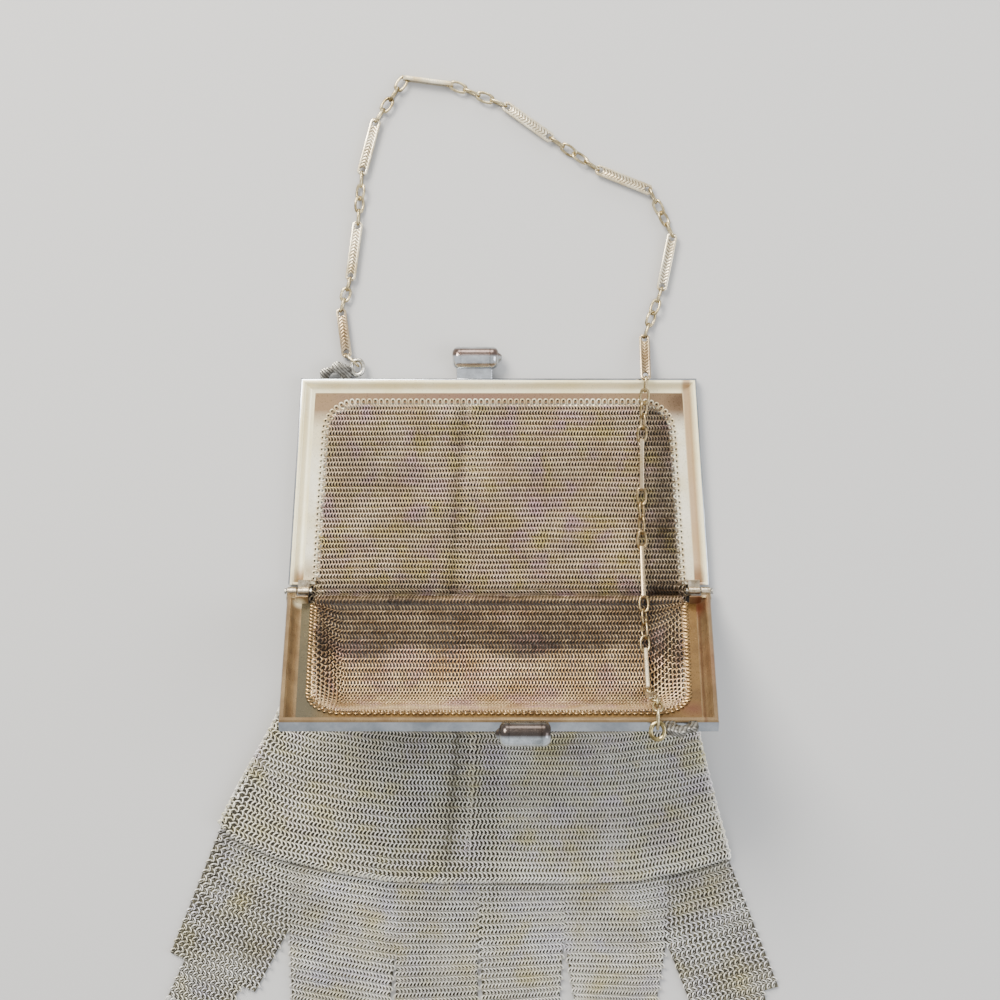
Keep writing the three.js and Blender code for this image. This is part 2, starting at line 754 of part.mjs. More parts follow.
// A point of the route in the purse's frame
function routePoint([across, back, up]) {
  const y = back * frameReach;
  const z = linkWidth / 2 + tableGap + up * frameReach;
  const reach = Math.min(Math.hypot(y, z - frameDepth), frameReach);
  return new THREE.Vector3(across * sideAt(reach), y, z);
}

function chain(backEye, frontEye) {
  const bars = chainRoute.map((bar) => ({
    from: routePoint(bar.from), to: routePoint(bar.to), turn: bar.turn, links: bar.links,
  }));
  const pieces = bars.map(({ from, to, turn }) => barPiece(from, to, turn));
  const runLinks = (points, first, last) => {
    const turns = linkTurns(first, last, points.length - 1);
    turns.forEach((turn, i) => pieces.push(linkPiece(points[i], points[i + 1], turn, linkWidth)));
  };
  for (let i = 0; i < bars.length - 1; i++) {
    const start = barJunction(bars[i].to, bars[i].from);
    const end = barJunction(bars[i + 1].from, bars[i + 1].to);
    const points = Array.from({ length: bars[i].links + 1 }, (_, k) => (
      start.clone().lerp(end, k / bars[i].links)));
    runLinks(points, bars[i].turn + 90, bars[i + 1].turn + 90);
  }
  const last = bars[bars.length - 1];
  const climb = [barJunction(last.to, last.from), ...chainTop.map(routePoint)];
  runLinks(climb, last.turn + 90, last.turn + 180);
  pieces.push(linkPiece(climb[climb.length - 1], frontEye, 90, endLinkWidth));
  pieces.push(linkPiece(barJunction(bars[0].from, bars[0].to), backEye, 90, endLinkWidth));
  return toGeometry(plainer(join(pieces)));
}

// Assembly

const purse = new THREE.Group();
purse.position.y = -(frameReach - railSection / 2);

const backHalf = new THREE.Group();
backHalf.position.z = frameDepth;
purse.add(backHalf);

const frontHalf = new THREE.Group();
frontHalf.position.z = frameDepth;
frontHalf.rotation.set(-frontTilt, 0, Math.PI);
purse.add(frontHalf);

const innerSpan = {
  inner: sideAt(0) - outerKnuckle - clearance - innerKnuckle,
  outer: sideAt(0) - outerKnuckle - clearance,
};
const outerSpan = { inner: sideAt(0) - outerKnuckle, outer: sideAt(0) };

addPart(backHalf, 'back_frame', frameHalf({
  barrelRight: -barrelEndGap / 2, knuckles: innerSpan, eyeTilt: 0,
}), 0xcfc6ae, 0.28);
addPart(frontHalf, 'front_frame', frameHalf({
  barrelRight: -barrelEndGap / 2, knuckles: outerSpan, eyeTilt: -frontTilt,
}), 0xb59a72, 0.3);

for (const [name, sign] of [['hinge_pin_left', -1], ['hinge_pin_right', 1]]) {
  const ends = [innerSpan.inner - clearance, outerSpan.outer + clearance].map((x) => sign * x);
  const low = Math.min(...ends);
  const high = Math.max(...ends);
  const inHead = pinHeadThickness / 2;
  const pin = join([rodAlongX(low - inHead, high + inHead, pinDiameter / 2, boreSides),
    rodAlongX(low - pinHeadThickness, low, pinHeadDiameter / 2, headSides),
    rodAlongX(high, high + pinHeadThickness, pinHeadDiameter / 2, headSides)]);
  addPart(purse, name, toGeometry(pin), 0xa9a294, 0.35).position.z = frameDepth;
}

addPart(purse, 'mesh_pouch', pouch(), 0xc2b08e, 0.42);
addPart(purse, 'mesh_fringe', fringe(), 0xcfc8b4, 0.4);

// The chain's end links close round the eyes' wires with a clearance
const wireClear = eyeWire / 2 + clearance + linkWire / 2;
const backEye = new THREE.Vector3(-eyeCentre, frameReach + eyeStandoff + eyeSlack,
  frameDepth - bracketDrop + clearance);
const frontEyeCentre = frontPoint(frameReach + eyeStandoff, bracketDrop);
const frontEye = new THREE.Vector3(eyeCentre,
  frontEyeCentre.y + (eyeLength - eyeWire) / 2 - wireClear, frontEyeCentre.z);
addPart(purse, 'chain', chain(backEye, frontEye), 0xd2c7a6, 0.3);

export default purse;
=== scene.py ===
import math

import bmesh
import bpy
import numpy as np
from mathutils import Matrix, Vector


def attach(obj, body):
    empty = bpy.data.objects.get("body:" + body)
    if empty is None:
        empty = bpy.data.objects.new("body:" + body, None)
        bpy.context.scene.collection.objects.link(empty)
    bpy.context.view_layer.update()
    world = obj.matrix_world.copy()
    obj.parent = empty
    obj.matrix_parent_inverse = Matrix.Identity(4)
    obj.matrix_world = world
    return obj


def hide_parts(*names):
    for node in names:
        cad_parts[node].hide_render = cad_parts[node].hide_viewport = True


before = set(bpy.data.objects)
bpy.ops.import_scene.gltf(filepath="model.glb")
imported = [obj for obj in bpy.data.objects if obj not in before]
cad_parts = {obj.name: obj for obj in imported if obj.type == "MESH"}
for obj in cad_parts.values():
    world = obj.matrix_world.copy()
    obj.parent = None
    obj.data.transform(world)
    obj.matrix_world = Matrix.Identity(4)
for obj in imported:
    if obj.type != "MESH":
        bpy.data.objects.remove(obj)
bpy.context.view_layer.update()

# Sizes in millimetres, measured from the hinge line's middle with the table at z = 0
MM = 0.001
WAVE_REPEAT = 0.314
HINGE_TO_ORIGIN = 63.1
HINGE_WIDTH = 133
RAIL_WIDTH = 124.4
FRAME_REACH = 66.9
FRAME_DEPTH = 4.2
LIP_WIDTH = 1.4
LIP_STEP = 0.5
COVE_WIDTH = 3
STRIP_THICKNESS = 1.2
RAIL_SECTION = 7.6
SIDE_SECTION = 8.4
OPENING_RADIUS = 9
FRONT_TILT = math.radians(60)
ARM_END = 2
END_WALL = 0.7
END_WALL_WIDTH = 5.6
END_WALL_DROP = 0.35
END_WALL_HEIGHT = FRAME_DEPTH - 0.45

HOLE_DIAMETER = 0.9
HOLE_PITCH = 1.8
HOLE_EDGE = 0.9

KNUCKLE_DIAMETER = 2.4
OUTER_KNUCKLE = 3
INNER_KNUCKLE = 3.6
KNUCKLE_GAP = 0.3
KNUCKLE_EDGE = 0.18
KNUCKLE_WEB = 3.2

BARREL_LENGTH = 14.4
BARREL_DIAMETER = 7
BARREL_STANDOFF = 6.4
BARREL_NECK = 11.2
BARREL_NECK_THICKNESS = 2.4
BARREL_TIP = 1.2
BARREL_RIGHT = -0.15
NECK_RIBS = 4
NECK_RIB = 0.3
NECK_RIB_PITCH = 0.75

BRACKET_FROM = 56.2
BRACKET_LENGTH = 10
BRACKET_HEIGHT = 5.4
BRACKET_THICKNESS = 1.8
BRACKET_DROP = 1.2
ARCH_WIDTH = 3.8
ARCH_HEIGHT = 1.9
FOOT_WIDTH = 2.6
EYE_CENTRE = 44.6
EYE_STANDOFF = 3.5
EYE_WIDTH = 5.1
EYE_LENGTH = 6
EYE_WIRE = 1.3

MESH_THICKNESS = 1.6
PANEL_INSET = 1.2
CREASE_SETBACK = 4.2
CREASE_HEIGHT = 6.6
WALL_GAP = 0.9
POUCH_BOTTOM = 90.9
SKIRT_LEFT = 87.2
SKIRT_RIGHT = 72.2
JOIN_RISE = 18
RISE_LEFT = 8
RISE_RIGHT = 12
ARM_FADE = 0.84

FRINGE_GAP = 0.4
HEADER_DEPTH = 22
OUTER_EDGE = 44.5
TAB_LENGTH = 22.6
STEP_INSET = 5
SECOND_STEP = 12.5
THIRD_STEP = 8

TIE_LENGTH = 2.5
TIE_WIDTH = 1.75
TIE_WIRE = 0.38

RING_DIAMETER = 2.4
RING_WIRE = 0.5
COLUMN_PITCH = 1.2
FRINGE_COLUMN_PITCH = 1.12
ROW_PITCH = 1.7
INNER_PITCH = 1.52
ROW_SLIDE = 0.25
BACK_COLUMN_PITCH = 0.94
BACK_ROW_PITCH = 1.62
BACK_PANEL_WIDTH = 112
BACK_ROWS_FROM = 57.9
BACK_ROWS_TO = -3.4
GUSSET_ACROSS = (56.2, 58.8)
GUSSET_DOWN = (2.6, -6.5)
PANEL_COLUMNS = 110
PANEL_RING_SIZE = 0.9
SKIRT_COLUMNS = 128
SKIRT_ROWS = 40
SEAM_RINGS = 46

BAR_WIDTH = 3.2
BAR_THICKNESS = 1.3
BAR_HOLE = 1.8
BAR_HOLE_INSET = 1.6
BAR_CORNER = 0.8
LINK_WIRE = 0.85
LINK_WIDTH = 3.6
END_LINK_WIDTH = 4.2
LINK_OVERLAP = 0.06

# The front panel's drape at mid width, rail to crease: shares of the way back and up
DRAPE_BACK = [1.0, 1.045, 1.065, 1.06, 1.0, 0.87, 0.68, 0.46, 0.22, 0.0]
DRAPE_UP = [1.0, 0.81, 0.62, 0.44, 0.3, 0.19, 0.115, 0.06, 0.022, 0.0]

# The pouch's spread down its length
SPREAD_DOWN = [0.0, 0.27, 0.54, 0.83, 1.0]
SPREAD_LEFT = [0.0, 0.19, 0.44, 0.81, 1.0]
SPREAD_RIGHT = [0.0, 0.16, 0.385, 0.755, 1.0]

# The join line between pouch and fringe
JOIN_ACROSS = [-1.0, -0.96, -0.8, -0.6, -0.4, -0.2, 0.3, 0.6, 0.78, 0.9, 1.0]
JOIN_LIFT = [1.0, 0.77, 0.41, 0.19, 0.04, 0.0, 0.0, 0.02, 0.14, 0.27, 0.41]

# Slits between the tabs: place, depth in header depths, leans of the tab edges beside it
SLITS = [
    (-0.761, 0.74, -28.5, 2.4),
    (-0.372, 1.03, -7, -1),
    (-0.072, 0.97, -1.4, 3.8),
    (0.284, 0.886, -3.7, 9.8),
    (0.734, 0.945, -9.5, 21.7),
]
LEFT_LEAN = -21.9
RIGHT_LEAN = 21.4

# The back panel's long fold: its valley's place at the rail, and its drift along the reach
BACK_VALLEY = 11.5
BACK_FOLD_SLANT = 3.4

# Folds that run down the front wall: place and half width in shares, height in millimetres
FOLDS = [(-0.115, 0.05, 1.2), (-0.62, 0.12, 0.6), (0.5, 0.15, 0.5)]

# Chain bars: tips, turn about the bar's length, links after it. A tip is its place across, as a
# share of the frame's half width there, then back from the hinge and up in frame reaches
CHAIN_ROUTE = [
    ([-0.7701, 1.1001, 0], [-0.8023, 1.3318, 0], 0, 3),
    ([-0.7556, 1.4619, 0], [-0.7138, 1.7414, 0], 0, 4),
    ([-0.6977, 1.9611, 0], [-0.6206, 2.2257, 0], 0, 4),
    ([-0.4871, 2.4185, 0], [-0.2299, 2.3871, 0], 90, 4),
    ([0.0241, 2.2945, 0], [0.2733, 2.1286, 0], 0, 4),
    ([0.492, 1.991, 0], [0.7765, 1.8849, 0], 0, 4),
    ([0.8826, 1.6846, 0], [0.8232, 1.4141, 0], 0, 4),
    ([0.7379, 1.2063, 0.0007], [0.7391, 0.9895, 0.074], 0, 5),
    ([0.708, 0.7175, 0.0291], [0.6963, 0.4694, 0.0291], 90, 4),
    ([0.6847, 0.2152, 0.0306], [0.6821, -0.0344, 0.1158], 90, 4),
    ([0.6944, -0.2631, 0.1652], [0.7027, -0.4395, 0.346], 90, 3),
    ([0.7051, -0.4335, 0.4836], [0.7141, -0.4335, 0.7197], 0, 5),
]
CHAIN_TOP = [
    [0.7143, -0.429, 0.7661],
    [0.7168, -0.426, 0.8259],
    [0.7179, -0.4305, 0.8857],
    [0.7186, -0.4544, 0.9395],
]
BACK_EYE = (-EYE_CENTRE, FRAME_REACH + EYE_STANDOFF + 0.7, FRAME_DEPTH - BRACKET_DROP + 0.3)
TABLE_GAP = 0.05

# Photo camera: straight above, looking down
CAMERA_PLACE = (0.36, 28.6, 565.7)
CAMERA_LENS = 64.3


# Colour and shader helpers

def linear(hex_value):
    """An sRGB hex colour as linear RGBA."""
    channels = [int(hex_value[i:i + 2], 16) / 255 for i in (1, 3, 5)]
    return [c / 12.92 if c <= 0.04045 else ((c + 0.055) / 1.055) ** 2.4 for c in channels] + [1.0]


def add(tree, kind, inputs=None, **settings):
    """A new node with its settings, its socket values and its links."""
    made = tree.nodes.new(kind)
    for key, value in settings.items():
        setattr(made, key, value)
    for key, value in (inputs or {}).items():
        if isinstance(value, bpy.types.NodeSocket):
            tree.links.new(value, made.inputs[key])
        else:
            made.inputs[key].default_value = value
    return made


def blend(tree, share, under, over):
    """One colour over another, by a share."""
    return add(tree, "ShaderNodeMix", {"Factor": share, 6: under, 7: over}, data_type="RGBA").outputs[2]


def ranged(tree, value, low, high, to_low=0, to_high=1):
    """A value's range made into another, and held at its ends."""
    return add(tree, "ShaderNodeMapRange", {"Value": value, "From Min": low, "From Max": high,
                                            "To Min": to_low, "To Max": to_high}).outputs["Result"]


def maths(tree, operation, *values):
    return add(tree, "ShaderNodeMath", dict(enumerate(values)), operation=operation).outputs[0]


def blank_material(name):
    """A new material and its empty node tree."""
    material = bpy.data.materials.new(name)
    material.use_nodes = True
    material.node_tree.nodes.clear()
    return material, material.node_tree


def metal(name, fresh, tarnished, roughness, patch_mm, relief=0.04, shade=None, stains_and_painted_light=(),
          pattern=None, metallic=1.0, tints=(), bands=()):
    """A metal with tarnish in patches, faint film colours, fine handling scratches, even bands
    along a direction, which paint shade and reflections, and ragged ovals at given places, for
    stains and for painted highlights and reflections, all in the row's millimetres. shade is a
    darker colour of painted shade that the mesh's own shade attribute mixes in."""
    material, tree = blank_material(name)
    place = add(tree, "ShaderNodeTexCoord").outputs["Object"]
    patches = add(tree, "ShaderNodeTexNoise", {"Vector": place, "Scale": 1 / (patch_mm * MM),
                                               "Detail": 5, "Roughness": 0.6}).outputs["Fac"]
    base = blend(tree, ranged(tree, patches, 0.36, 0.66), linear(fresh), linear(tarnished))
    for tint, size_mm, seed in tints:
        film = add(tree, "ShaderNodeTexNoise", {"Vector": place, "Scale": 1 / (size_mm * MM), "W": seed,
                                                "Detail": 3}, noise_dimensions="4D").outputs["Fac"]
        base = blend(tree, ranged(tree, film, 0.5, 0.7, 0, 0.75), base, linear(tint))
    for way, low, high, soft, tone, strength in bands:
        along = add(tree, "ShaderNodeVectorMath", {0: place, 1: [c / MM for c in way]},
                    operation="DOT_PRODUCT").outputs["Value"]
        rise = ranged(tree, along, low - soft, low + soft, 0, strength)
        fall = ranged(tree, along, high + soft, high - soft)
        base = blend(tree, maths(tree, "MULTIPLY", rise, fall), base, linear(tone))
    for centre, radii, oval_tone, strength in stains_and_painted_light:
        from_centre = add(tree, "ShaderNodeVectorMath", {0: place, 1: [c * MM for c in centre]},
                          operation="SUBTRACT").outputs[0]
        oval = add(tree, "ShaderNodeVectorMath", {0: from_centre, 1: [r * MM for r in radii]},
                   operation="DIVIDE").outputs[0]
        away = add(tree, "ShaderNodeVectorMath", {0: oval}, operation="LENGTH").outputs["Value"]
        ragged = maths(tree, "MULTIPLY_ADD", patches, 0.9, away)
        base = blend(tree, ranged(tree, ragged, 1.35, 0.5, 0, strength), base, linear(oval_tone))
    if shade:
        own = add(tree, "ShaderNodeAttribute", attribute_name="shade").outputs["Fac"]
        base = blend(tree, own, linear(shade), base)
    scratches = add(tree, "ShaderNodeTexNoise", {"Vector": place, "Scale": 1 / (0.45 * MM), "Detail": 3,
                                                 "Distortion": 1.5}).outputs["Fac"]
    rough = ranged(tree, scratches, 0.3, 0.7, roughness * 0.75, roughness * 1.3)
    height, strength = scratches, relief
    if pattern:
        height, strength, groove, darkness = pattern(tree)
        base = blend(tree, ranged(tree, height, 0.2, 0.75, 1 - darkness), linear(groove), base)
    bump = add(tree, "ShaderNodeBump", {"Height": height, "Strength": strength, "Distance": 0.1 * MM})
    shader = add(tree, "ShaderNodeBsdfPrincipled", {"Base Color": base, "Metallic": metallic,
                                                    "Roughness": rough,
                                                    "Normal": bump.outputs["Normal"]})
    add(tree, "ShaderNodeOutputMaterial", {"Surface": shader.outputs["BSDF"]})
    return material


def engraving(tree):
    """A fern leaf cut along a bar's face, inside a plain border: reads the bar's own face map,
    in millimetres along and across it."""
    face = add(tree, "ShaderNodeUVMap", uv_map="face").outputs["UV"]
    split = add(tree, "ShaderNodeSeparateXYZ", {"Vector": face})
    away = maths(tree, "ABSOLUTE", split.outputs["Y"])
    slant = maths(tree, "MULTIPLY_ADD", away, 0.8, split.outputs["X"])
    leaf = add(tree, "ShaderNodeCombineXYZ", {"X": slant, "Y": away})
    # A Wave texture repeats every WAVE_REPEAT / Scale, so this makes about one leaflet a millimetre
    leaflets = add(tree, "ShaderNodeTexWave", {"Vector": leaf.outputs[0], "Scale": 0.3, "Distortion": 1.2,
                                               "Detail": 1.0})
    border = ranged(tree, away, 0.92, 1.02)
    return maths(tree, "MAXIMUM", leaflets.outputs["Fac"], border), 0.8, "#5e4a2e", 0.8


def leaf_lines(tree):
    """Fine engraved veins across the cast brackets."""
    place = add(tree, "ShaderNodeTexCoord").outputs["Object"]
    veins = add(tree, "ShaderNodeTexWave", {"Vector": place, "Scale": 520.0, "Distortion": 1.6},
                bands_direction="DIAGONAL")
    return veins.outputs["Fac"], 0.6, "#24211d", 0.6


def weave_lines(tree):
    """Rows and columns of rings as low relief, for walls that lie hidden or underneath; the grooves between
    them are painted dark as shade.
    """
    place = add(tree, "ShaderNodeTexCoord").outputs["Object"]
    rows, columns = [add(tree, "ShaderNodeTexWave",
                         {"Vector": place, "Scale": WAVE_REPEAT / (pitch * MM), "Distortion": 0.6},
                         bands_direction=way).outputs["Fac"]
                     for way, pitch in (("Y", ROW_PITCH * 2), ("X", COLUMN_PITCH))]
    return maths(tree, "MULTIPLY", rows, columns), 1.0, "#1c1812", 0.7


# Which way a half's right arm leans, for bands of tarnish that follow the arm
ARM_LEAN = math.atan((HINGE_WIDTH - RAIL_WIDTH) / 2 / FRAME_REACH)
BACK_ARM_WAY = (math.cos(ARM_LEAN), math.sin(ARM_LEAN), 0)
BACK_ARM_EDGE = HINGE_WIDTH / 2 * math.cos(ARM_LEAN) - HINGE_TO_ORIGIN * math.sin(ARM_LEAN)
FRONT_ARM_WAY = (math.cos(ARM_LEAN), -math.sin(ARM_LEAN) * math.cos(FRONT_TILT),
                 math.sin(ARM_LEAN) * math.sin(FRONT_TILT))
FRONT_ARM_EDGE = (HINGE_WIDTH / 2 * math.cos(ARM_LEAN) + math.sin(ARM_LEAN)
                  * (HINGE_TO_ORIGIN * math.cos(FRONT_TILT) + FRAME_DEPTH * math.sin(FRONT_TILT)))

# Nickel silver, polished by handling: bright and a little cool, with soft grey patches
outer_silver = metal("nickel_silver_outer", "#a9adb0", "#858a8e", 0.2, 9)
# Barrels: polished nickel silver, each with a dark brown reflection painted in a band across it
barrel_silver = metal("nickel_silver_barrel", "#d3d6d8", "#a9abab", 0.2, 6, bands=[
    ((0, 1, 0), 10.7, 13.0, 0.35, "#5a4336", 0.9)])
front_barrel_silver = metal("nickel_silver_front_barrel", "#c9cfd2", "#8f9494", 0.22, 5, bands=[
    ((0, 1, 0), -100.2, -96.4, 0.5, "#3a2b20", 0.93)])
# The pins and knuckles are duller, between silver and gilt
pin_silver = metal("nickel_silver_pin", "#a9a69c", "#6f6a5f", 0.38, 2)
knuckle_gilt = metal("worn_gilt_knuckle", "#d0c3ab", "#85755c", 0.3, 2.5)
# Pale gilt wash inside the back half's tray, browned near the hinges, with painted shade in a brown band down
# the right arm's cove
back_gilt = metal("pale_gilt_tray", "#fff5cd", "#f5e6b0", 0.34, 14, metallic=0.35, relief=0.01, bands=[
    (BACK_ARM_WAY, BACK_ARM_EDGE - 4.6, BACK_ARM_EDGE - 2.0, 0.5, "#a37c58", 0.8)], stains_and_painted_light=[
    ((-62.5, 4 - HINGE_TO_ORIGIN, 2), (5, 5, 5), "#8a6230", 0.9),
    ((62, 4 - HINGE_TO_ORIGIN, 2), (4, 5, 5), "#6a4a30", 0.8)])
# The pierced strip's gilt is cream along the arms, with a dark reddish-brown reflection painted along the
# rail and at its right corner, and brown near the left hinge
back_strip_gilt = metal("tan_gilt_strip", "#f6efd6", "#e2d6b0", 0.32, 12, metallic=0.5, relief=0.01, bands=[
    ((0, 1, 0), -9.5, 8, 3.5, "#846848", 0.95)], stains_and_painted_light=[
    ((57, -3, 1), (9, 7, 6), "#4d3824", 0.8), ((-5, -2, 1), (60, 3.4, 4), "#74524a", 0.6),
    ((-60, 6 - HINGE_TO_ORIGIN, 1), (5, 6, 5), "#8b7048", 0.6)])
# The front half's inside is tan, with red-brown drips down its right arm, painted shade in a dark line along
# the right arm's cove and a pale highlight painted near the left hinge
front_gilt = metal("bronze_gilt_tray", "#86704f", "#664f34", 0.33, 12, metallic=0.6, relief=0.01, bands=[
    (FRONT_ARM_WAY, FRONT_ARM_EDGE - 4.1, FRONT_ARM_EDGE - 3.3, 0.35, "#55351f", 0.7)], stains_and_painted_light=[
    ((62.5, -5 - HINGE_TO_ORIGIN, 8), (5, 7, 9), "#5b2c18", 0.95),
    ((63.5, -22 - HINGE_TO_ORIGIN, 34), (4, 16, 26), "#7b5238", 0.6),
    ((-63, -4 - HINGE_TO_ORIGIN, 6), (3.2, 2.5, 4), "#efe6c4", 0.8)])
# The front strip is tan gilt, with painted shade in a grey band down the left arm and a red-brown stain near
# the rail's right end
front_strip_gilt = metal("front_gilt_strip", "#75592f", "#5c4322", 0.32, 10, metallic=0.6, relief=0.01,
                         bands=[((1, 0, 0), -72, -50, 4, "#4e4a3a", 0.9)], stains_and_painted_light=[
    ((56, -31 - HINGE_TO_ORIGIN, 53), (7, 4, 6), "#5b3324", 0.8)])
# The tie rings round the openings are fresh wire; behind the holes a dark sheet paints the shade seen through
# them
back_tie_wire = metal("tie_ring_wire", "#f4ecd2", "#cbb88f", 0.3, 6, metallic=0.6)
front_tie_wire = metal("tie_ring_wire_front", "#a98a5c", "#6b5132", 0.3, 6, metallic=0.8)
hole_shade = metal("painted_shade_behind_holes", "#2a221a", "#17120e", 0.7, 3, metallic=0.2)
# Rings: drawn nickel silver wire, bright outside and tanned inside the purse, with the faint
# violet and straw films of old silver
skirt_rings = metal("ring_wire_bright", "#fffdf4", "#f6efda", 0.3, 16, shade="#8b846c", metallic=0.3,
                    tints=[("#f1e6f2", 9, 1.0), ("#efe6b0", 7, 4.0)])
fringe_rings = metal("ring_wire_fringe", "#fbfaf5", "#ebe6d6", 0.32, 18, shade="#75705f", metallic=0.5,
                     tints=[("#e6e3f0", 10, 2.0), ("#eadfa8", 12, 6.0)])
back_rings = metal("ring_wire_tanned", "#f6e2c0", "#d9bf9b", 0.3, 12, shade="#43321f", metallic=0.6,
                   tints=[("#dbb6c4", 8, 3.0), ("#dcca7c", 6, 5.0)])
front_rings = metal("ring_wire_browned", "#f4d6a6", "#c9a474", 0.3, 10, shade="#33231a", metallic=0.6,
                    tints=[("#d6aca4", 8, 3.5)])
# The rings' tarnished lower halves and the painted shade in the gaps between the rings, darker inside the
# purse than under the skirt
skirt_weave = metal("skirt_weave_tarnish_and_shade", "#6a6550", "#474232", 0.6, 8, pattern=weave_lines, metallic=0.3)
back_weave = metal("back_weave_tarnish_and_shade", "#30261b", "#1f1812", 0.6, 8, pattern=weave_lines, metallic=0.4)
inner_weave = metal("inner_weave_tarnish_and_shade", "#2c1f16", "#1a120d", 0.6, 8, pattern=weave_lines, metallic=0.4)
# Chain: pale gilt bars with engraved faces and plain drawn links, browned down the right-hand
# run and on two bars more
bar_gilt = metal("engraved_pale_gilt", "#f0e6ca", "#cdb98f", 0.28, 5, pattern=engraving, metallic=0.9,
                 stains_and_painted_light=[
    ((44, -45, 20), (18, 95, 80), "#8c7048", 0.85),
    ((-49, 18, 2), (6, 18, 6), "#7d5f3a", 0.85), ((46, 10, 4), (6, 17, 9), "#7d5f3a", 0.85)])
link_gilt = metal("drawn_pale_gilt", "#d3c49c", "#7f6d49", 0.26, 4, stains_and_painted_light=[
    ((44, -45, 20), (18, 95, 80), "#7a6240", 0.85)])
# Cast brackets: dark nickel silver with fine veins; their eyes are rubbed bright by the chain
bracket_silver = metal("cast_nickel_silver", "#a09d94", "#5b564d", 0.26, 1.6, pattern=leaf_lines)
back_eye_silver = metal("rubbed_eye_silver", "#d9d5c8", "#8e897b", 0.24, 3)
front_eye_gilt = metal("rubbed_eye_gilt", "#c2b282", "#6b5d3a", 0.24, 3)


# Placing and finishing helpers

TO_ROW = Matrix.Scale(MM, 4) @ Matrix.Translation((0, -HINGE_TO_ORIGIN, 0))
BACK_HALF = Matrix.Translation((0, 0, FRAME_DEPTH))
FRONT_HALF = BACK_HALF @ Matrix.Rotation(-FRONT_TILT, 4, "X") @ Matrix.Rotation(math.pi, 4, "Z")


def finish(bm, name, material, nodes=(), half=Matrix.Identity(4), crisp=38, recalculate=True):
    """Turns a bmesh in millimetres into a piece at its place in the row frame."""
    bmesh.ops.transform(bm, matrix=TO_ROW @ half, verts=bm.verts)
    if recalculate:
        bmesh.ops.recalc_face_normals(bm, faces=bm.faces)
    for face in bm.faces:
        face.smooth = True
    for edge in bm.edges:
        edge.smooth = len(edge.link_faces) != 2 or edge.calc_face_angle() < math.radians(crisp)
    mesh = bpy.data.meshes.new(name)
    bm.to_mesh(mesh)
    bm.free()
    return dress(mesh, name, material, nodes)


def put(name, data):
    """A new object in the scene."""
    made = bpy.data.objects.new(name, data)
    bpy.context.scene.collection.objects.link(made)
    return made


def dress(mesh, name, material, nodes=()):
    """A piece of the purse: takes its material, rides the root and hides the nodes it stands for."""
    piece = put(name, mesh)
    mesh.materials.append(material)
    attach(piece, "root")
    if nodes:
        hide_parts(*nodes)
    return piece


def grid(bm, rows, columns, place):
    """A sheet of rows by columns vertices, each put where place(row share, column share) says."""
    for vert in bmesh.ops.create_grid(bm, x_segments=columns - 1, y_segments=rows - 1, size=0.5)["verts"]:
        vert.co = place(vert.co.y + 0.5, vert.co.x + 0.5)


def box(bm, middle, size, bevel=0.0, segments=1):
    """A block about a middle point, its edges rounded where a bevel is given."""
    bmesh.ops.create_cube(bm, size=1, matrix=Matrix.Translation(middle) @ Matrix.Diagonal((*size, 1)))
    if bevel:
        bmesh.ops.bevel(bm, geom=bm.edges, offset=bevel, segments=segments, affect="EDGES",
                        profile=0.5, material=-1)


def plate(bm, outline, holes, low, high, bevel=0.0):
    """A flat plate between two heights, its outline and holes given as points."""
    curve = bpy.data.curves.new("plate_outline", "CURVE")
    curve.dimensions = "2D"
    curve.fill_mode = "BOTH"
    curve.extrude = (high - low) / 2 - bevel
    curve.bevel_depth = bevel
    curve.bevel_resolution = 1
    curve.offset = -bevel
    for points in [outline, *holes]:
        spline = curve.splines.new("POLY")
        spline.points.add(len(points) - 1)
        for point, (x, y) in zip(spline.points, points):
            point.co = (x, y, 0, 1)
        spline.use_cyclic_u = True
    drawn = bpy.data.objects.new("plate_outline", curve)
    mesh = bpy.data.meshes.new_from_object(drawn)
    mesh.transform(Matrix.Translation((0, 0, (low + high) / 2)))
    first = len(bm.verts)
    bm.from_mesh(mesh)
    bm.verts.ensure_lookup_table()
    made = bm.verts[first:]
    bmesh.ops.remove_doubles(bm, verts=made, dist=0.0005)
    bpy.data.objects.remove(drawn)
    bpy.data.curves.remove(curve)
    bpy.data.meshes.remove(mesh)


def turned(bm, profile, steps):
    """A round piece about the X axis, from points (x, radius)."""
    verts = [bm.verts.new((x, radius, 0)) for x, radius in profile]
    edges = [bm.edges.new(pair) for pair in zip(verts, verts[1:])]
    bmesh.ops.spin(bm, geom=verts + edges, cent=(0, 0, 0), axis=(1, 0, 0), angle=2 * math.pi,
                   steps=steps, use_merge=True)
    bmesh.ops.remove_doubles(bm, verts=bm.verts, dist=0.001)


def wire_ring(length, width, wire, around, sides):
    """A closed ring of round wire in the XY plane, its ends round and its sides drawn out."""
    bm = bmesh.new()
    section = Matrix.Translation(((width - wire) / 2, 0, 0)) @ Matrix.Rotation(math.pi / 2, 4, "X")
    bmesh.ops.create_circle(bm, segments=sides, radius=wire / 2, matrix=section)
    bmesh.ops.rotate(bm, verts=bm.verts, matrix=Matrix.Rotation(math.pi / around, 3, "Z"))
    bmesh.ops.spin(bm, geom=bm.verts[:] + bm.edges[:], cent=(0, 0, 0), axis=(0, 0, 1),
                   angle=2 * math.pi, steps=around, use_merge=True)
    reach = (length - width) / 2
    for vert in bm.verts:
        vert.co.x += reach * max(-1.0, min(1.0, vert.co.x / (width * 0.3)))
    bmesh.ops.recalc_face_normals(bm, faces=bm.faces)
    return bm


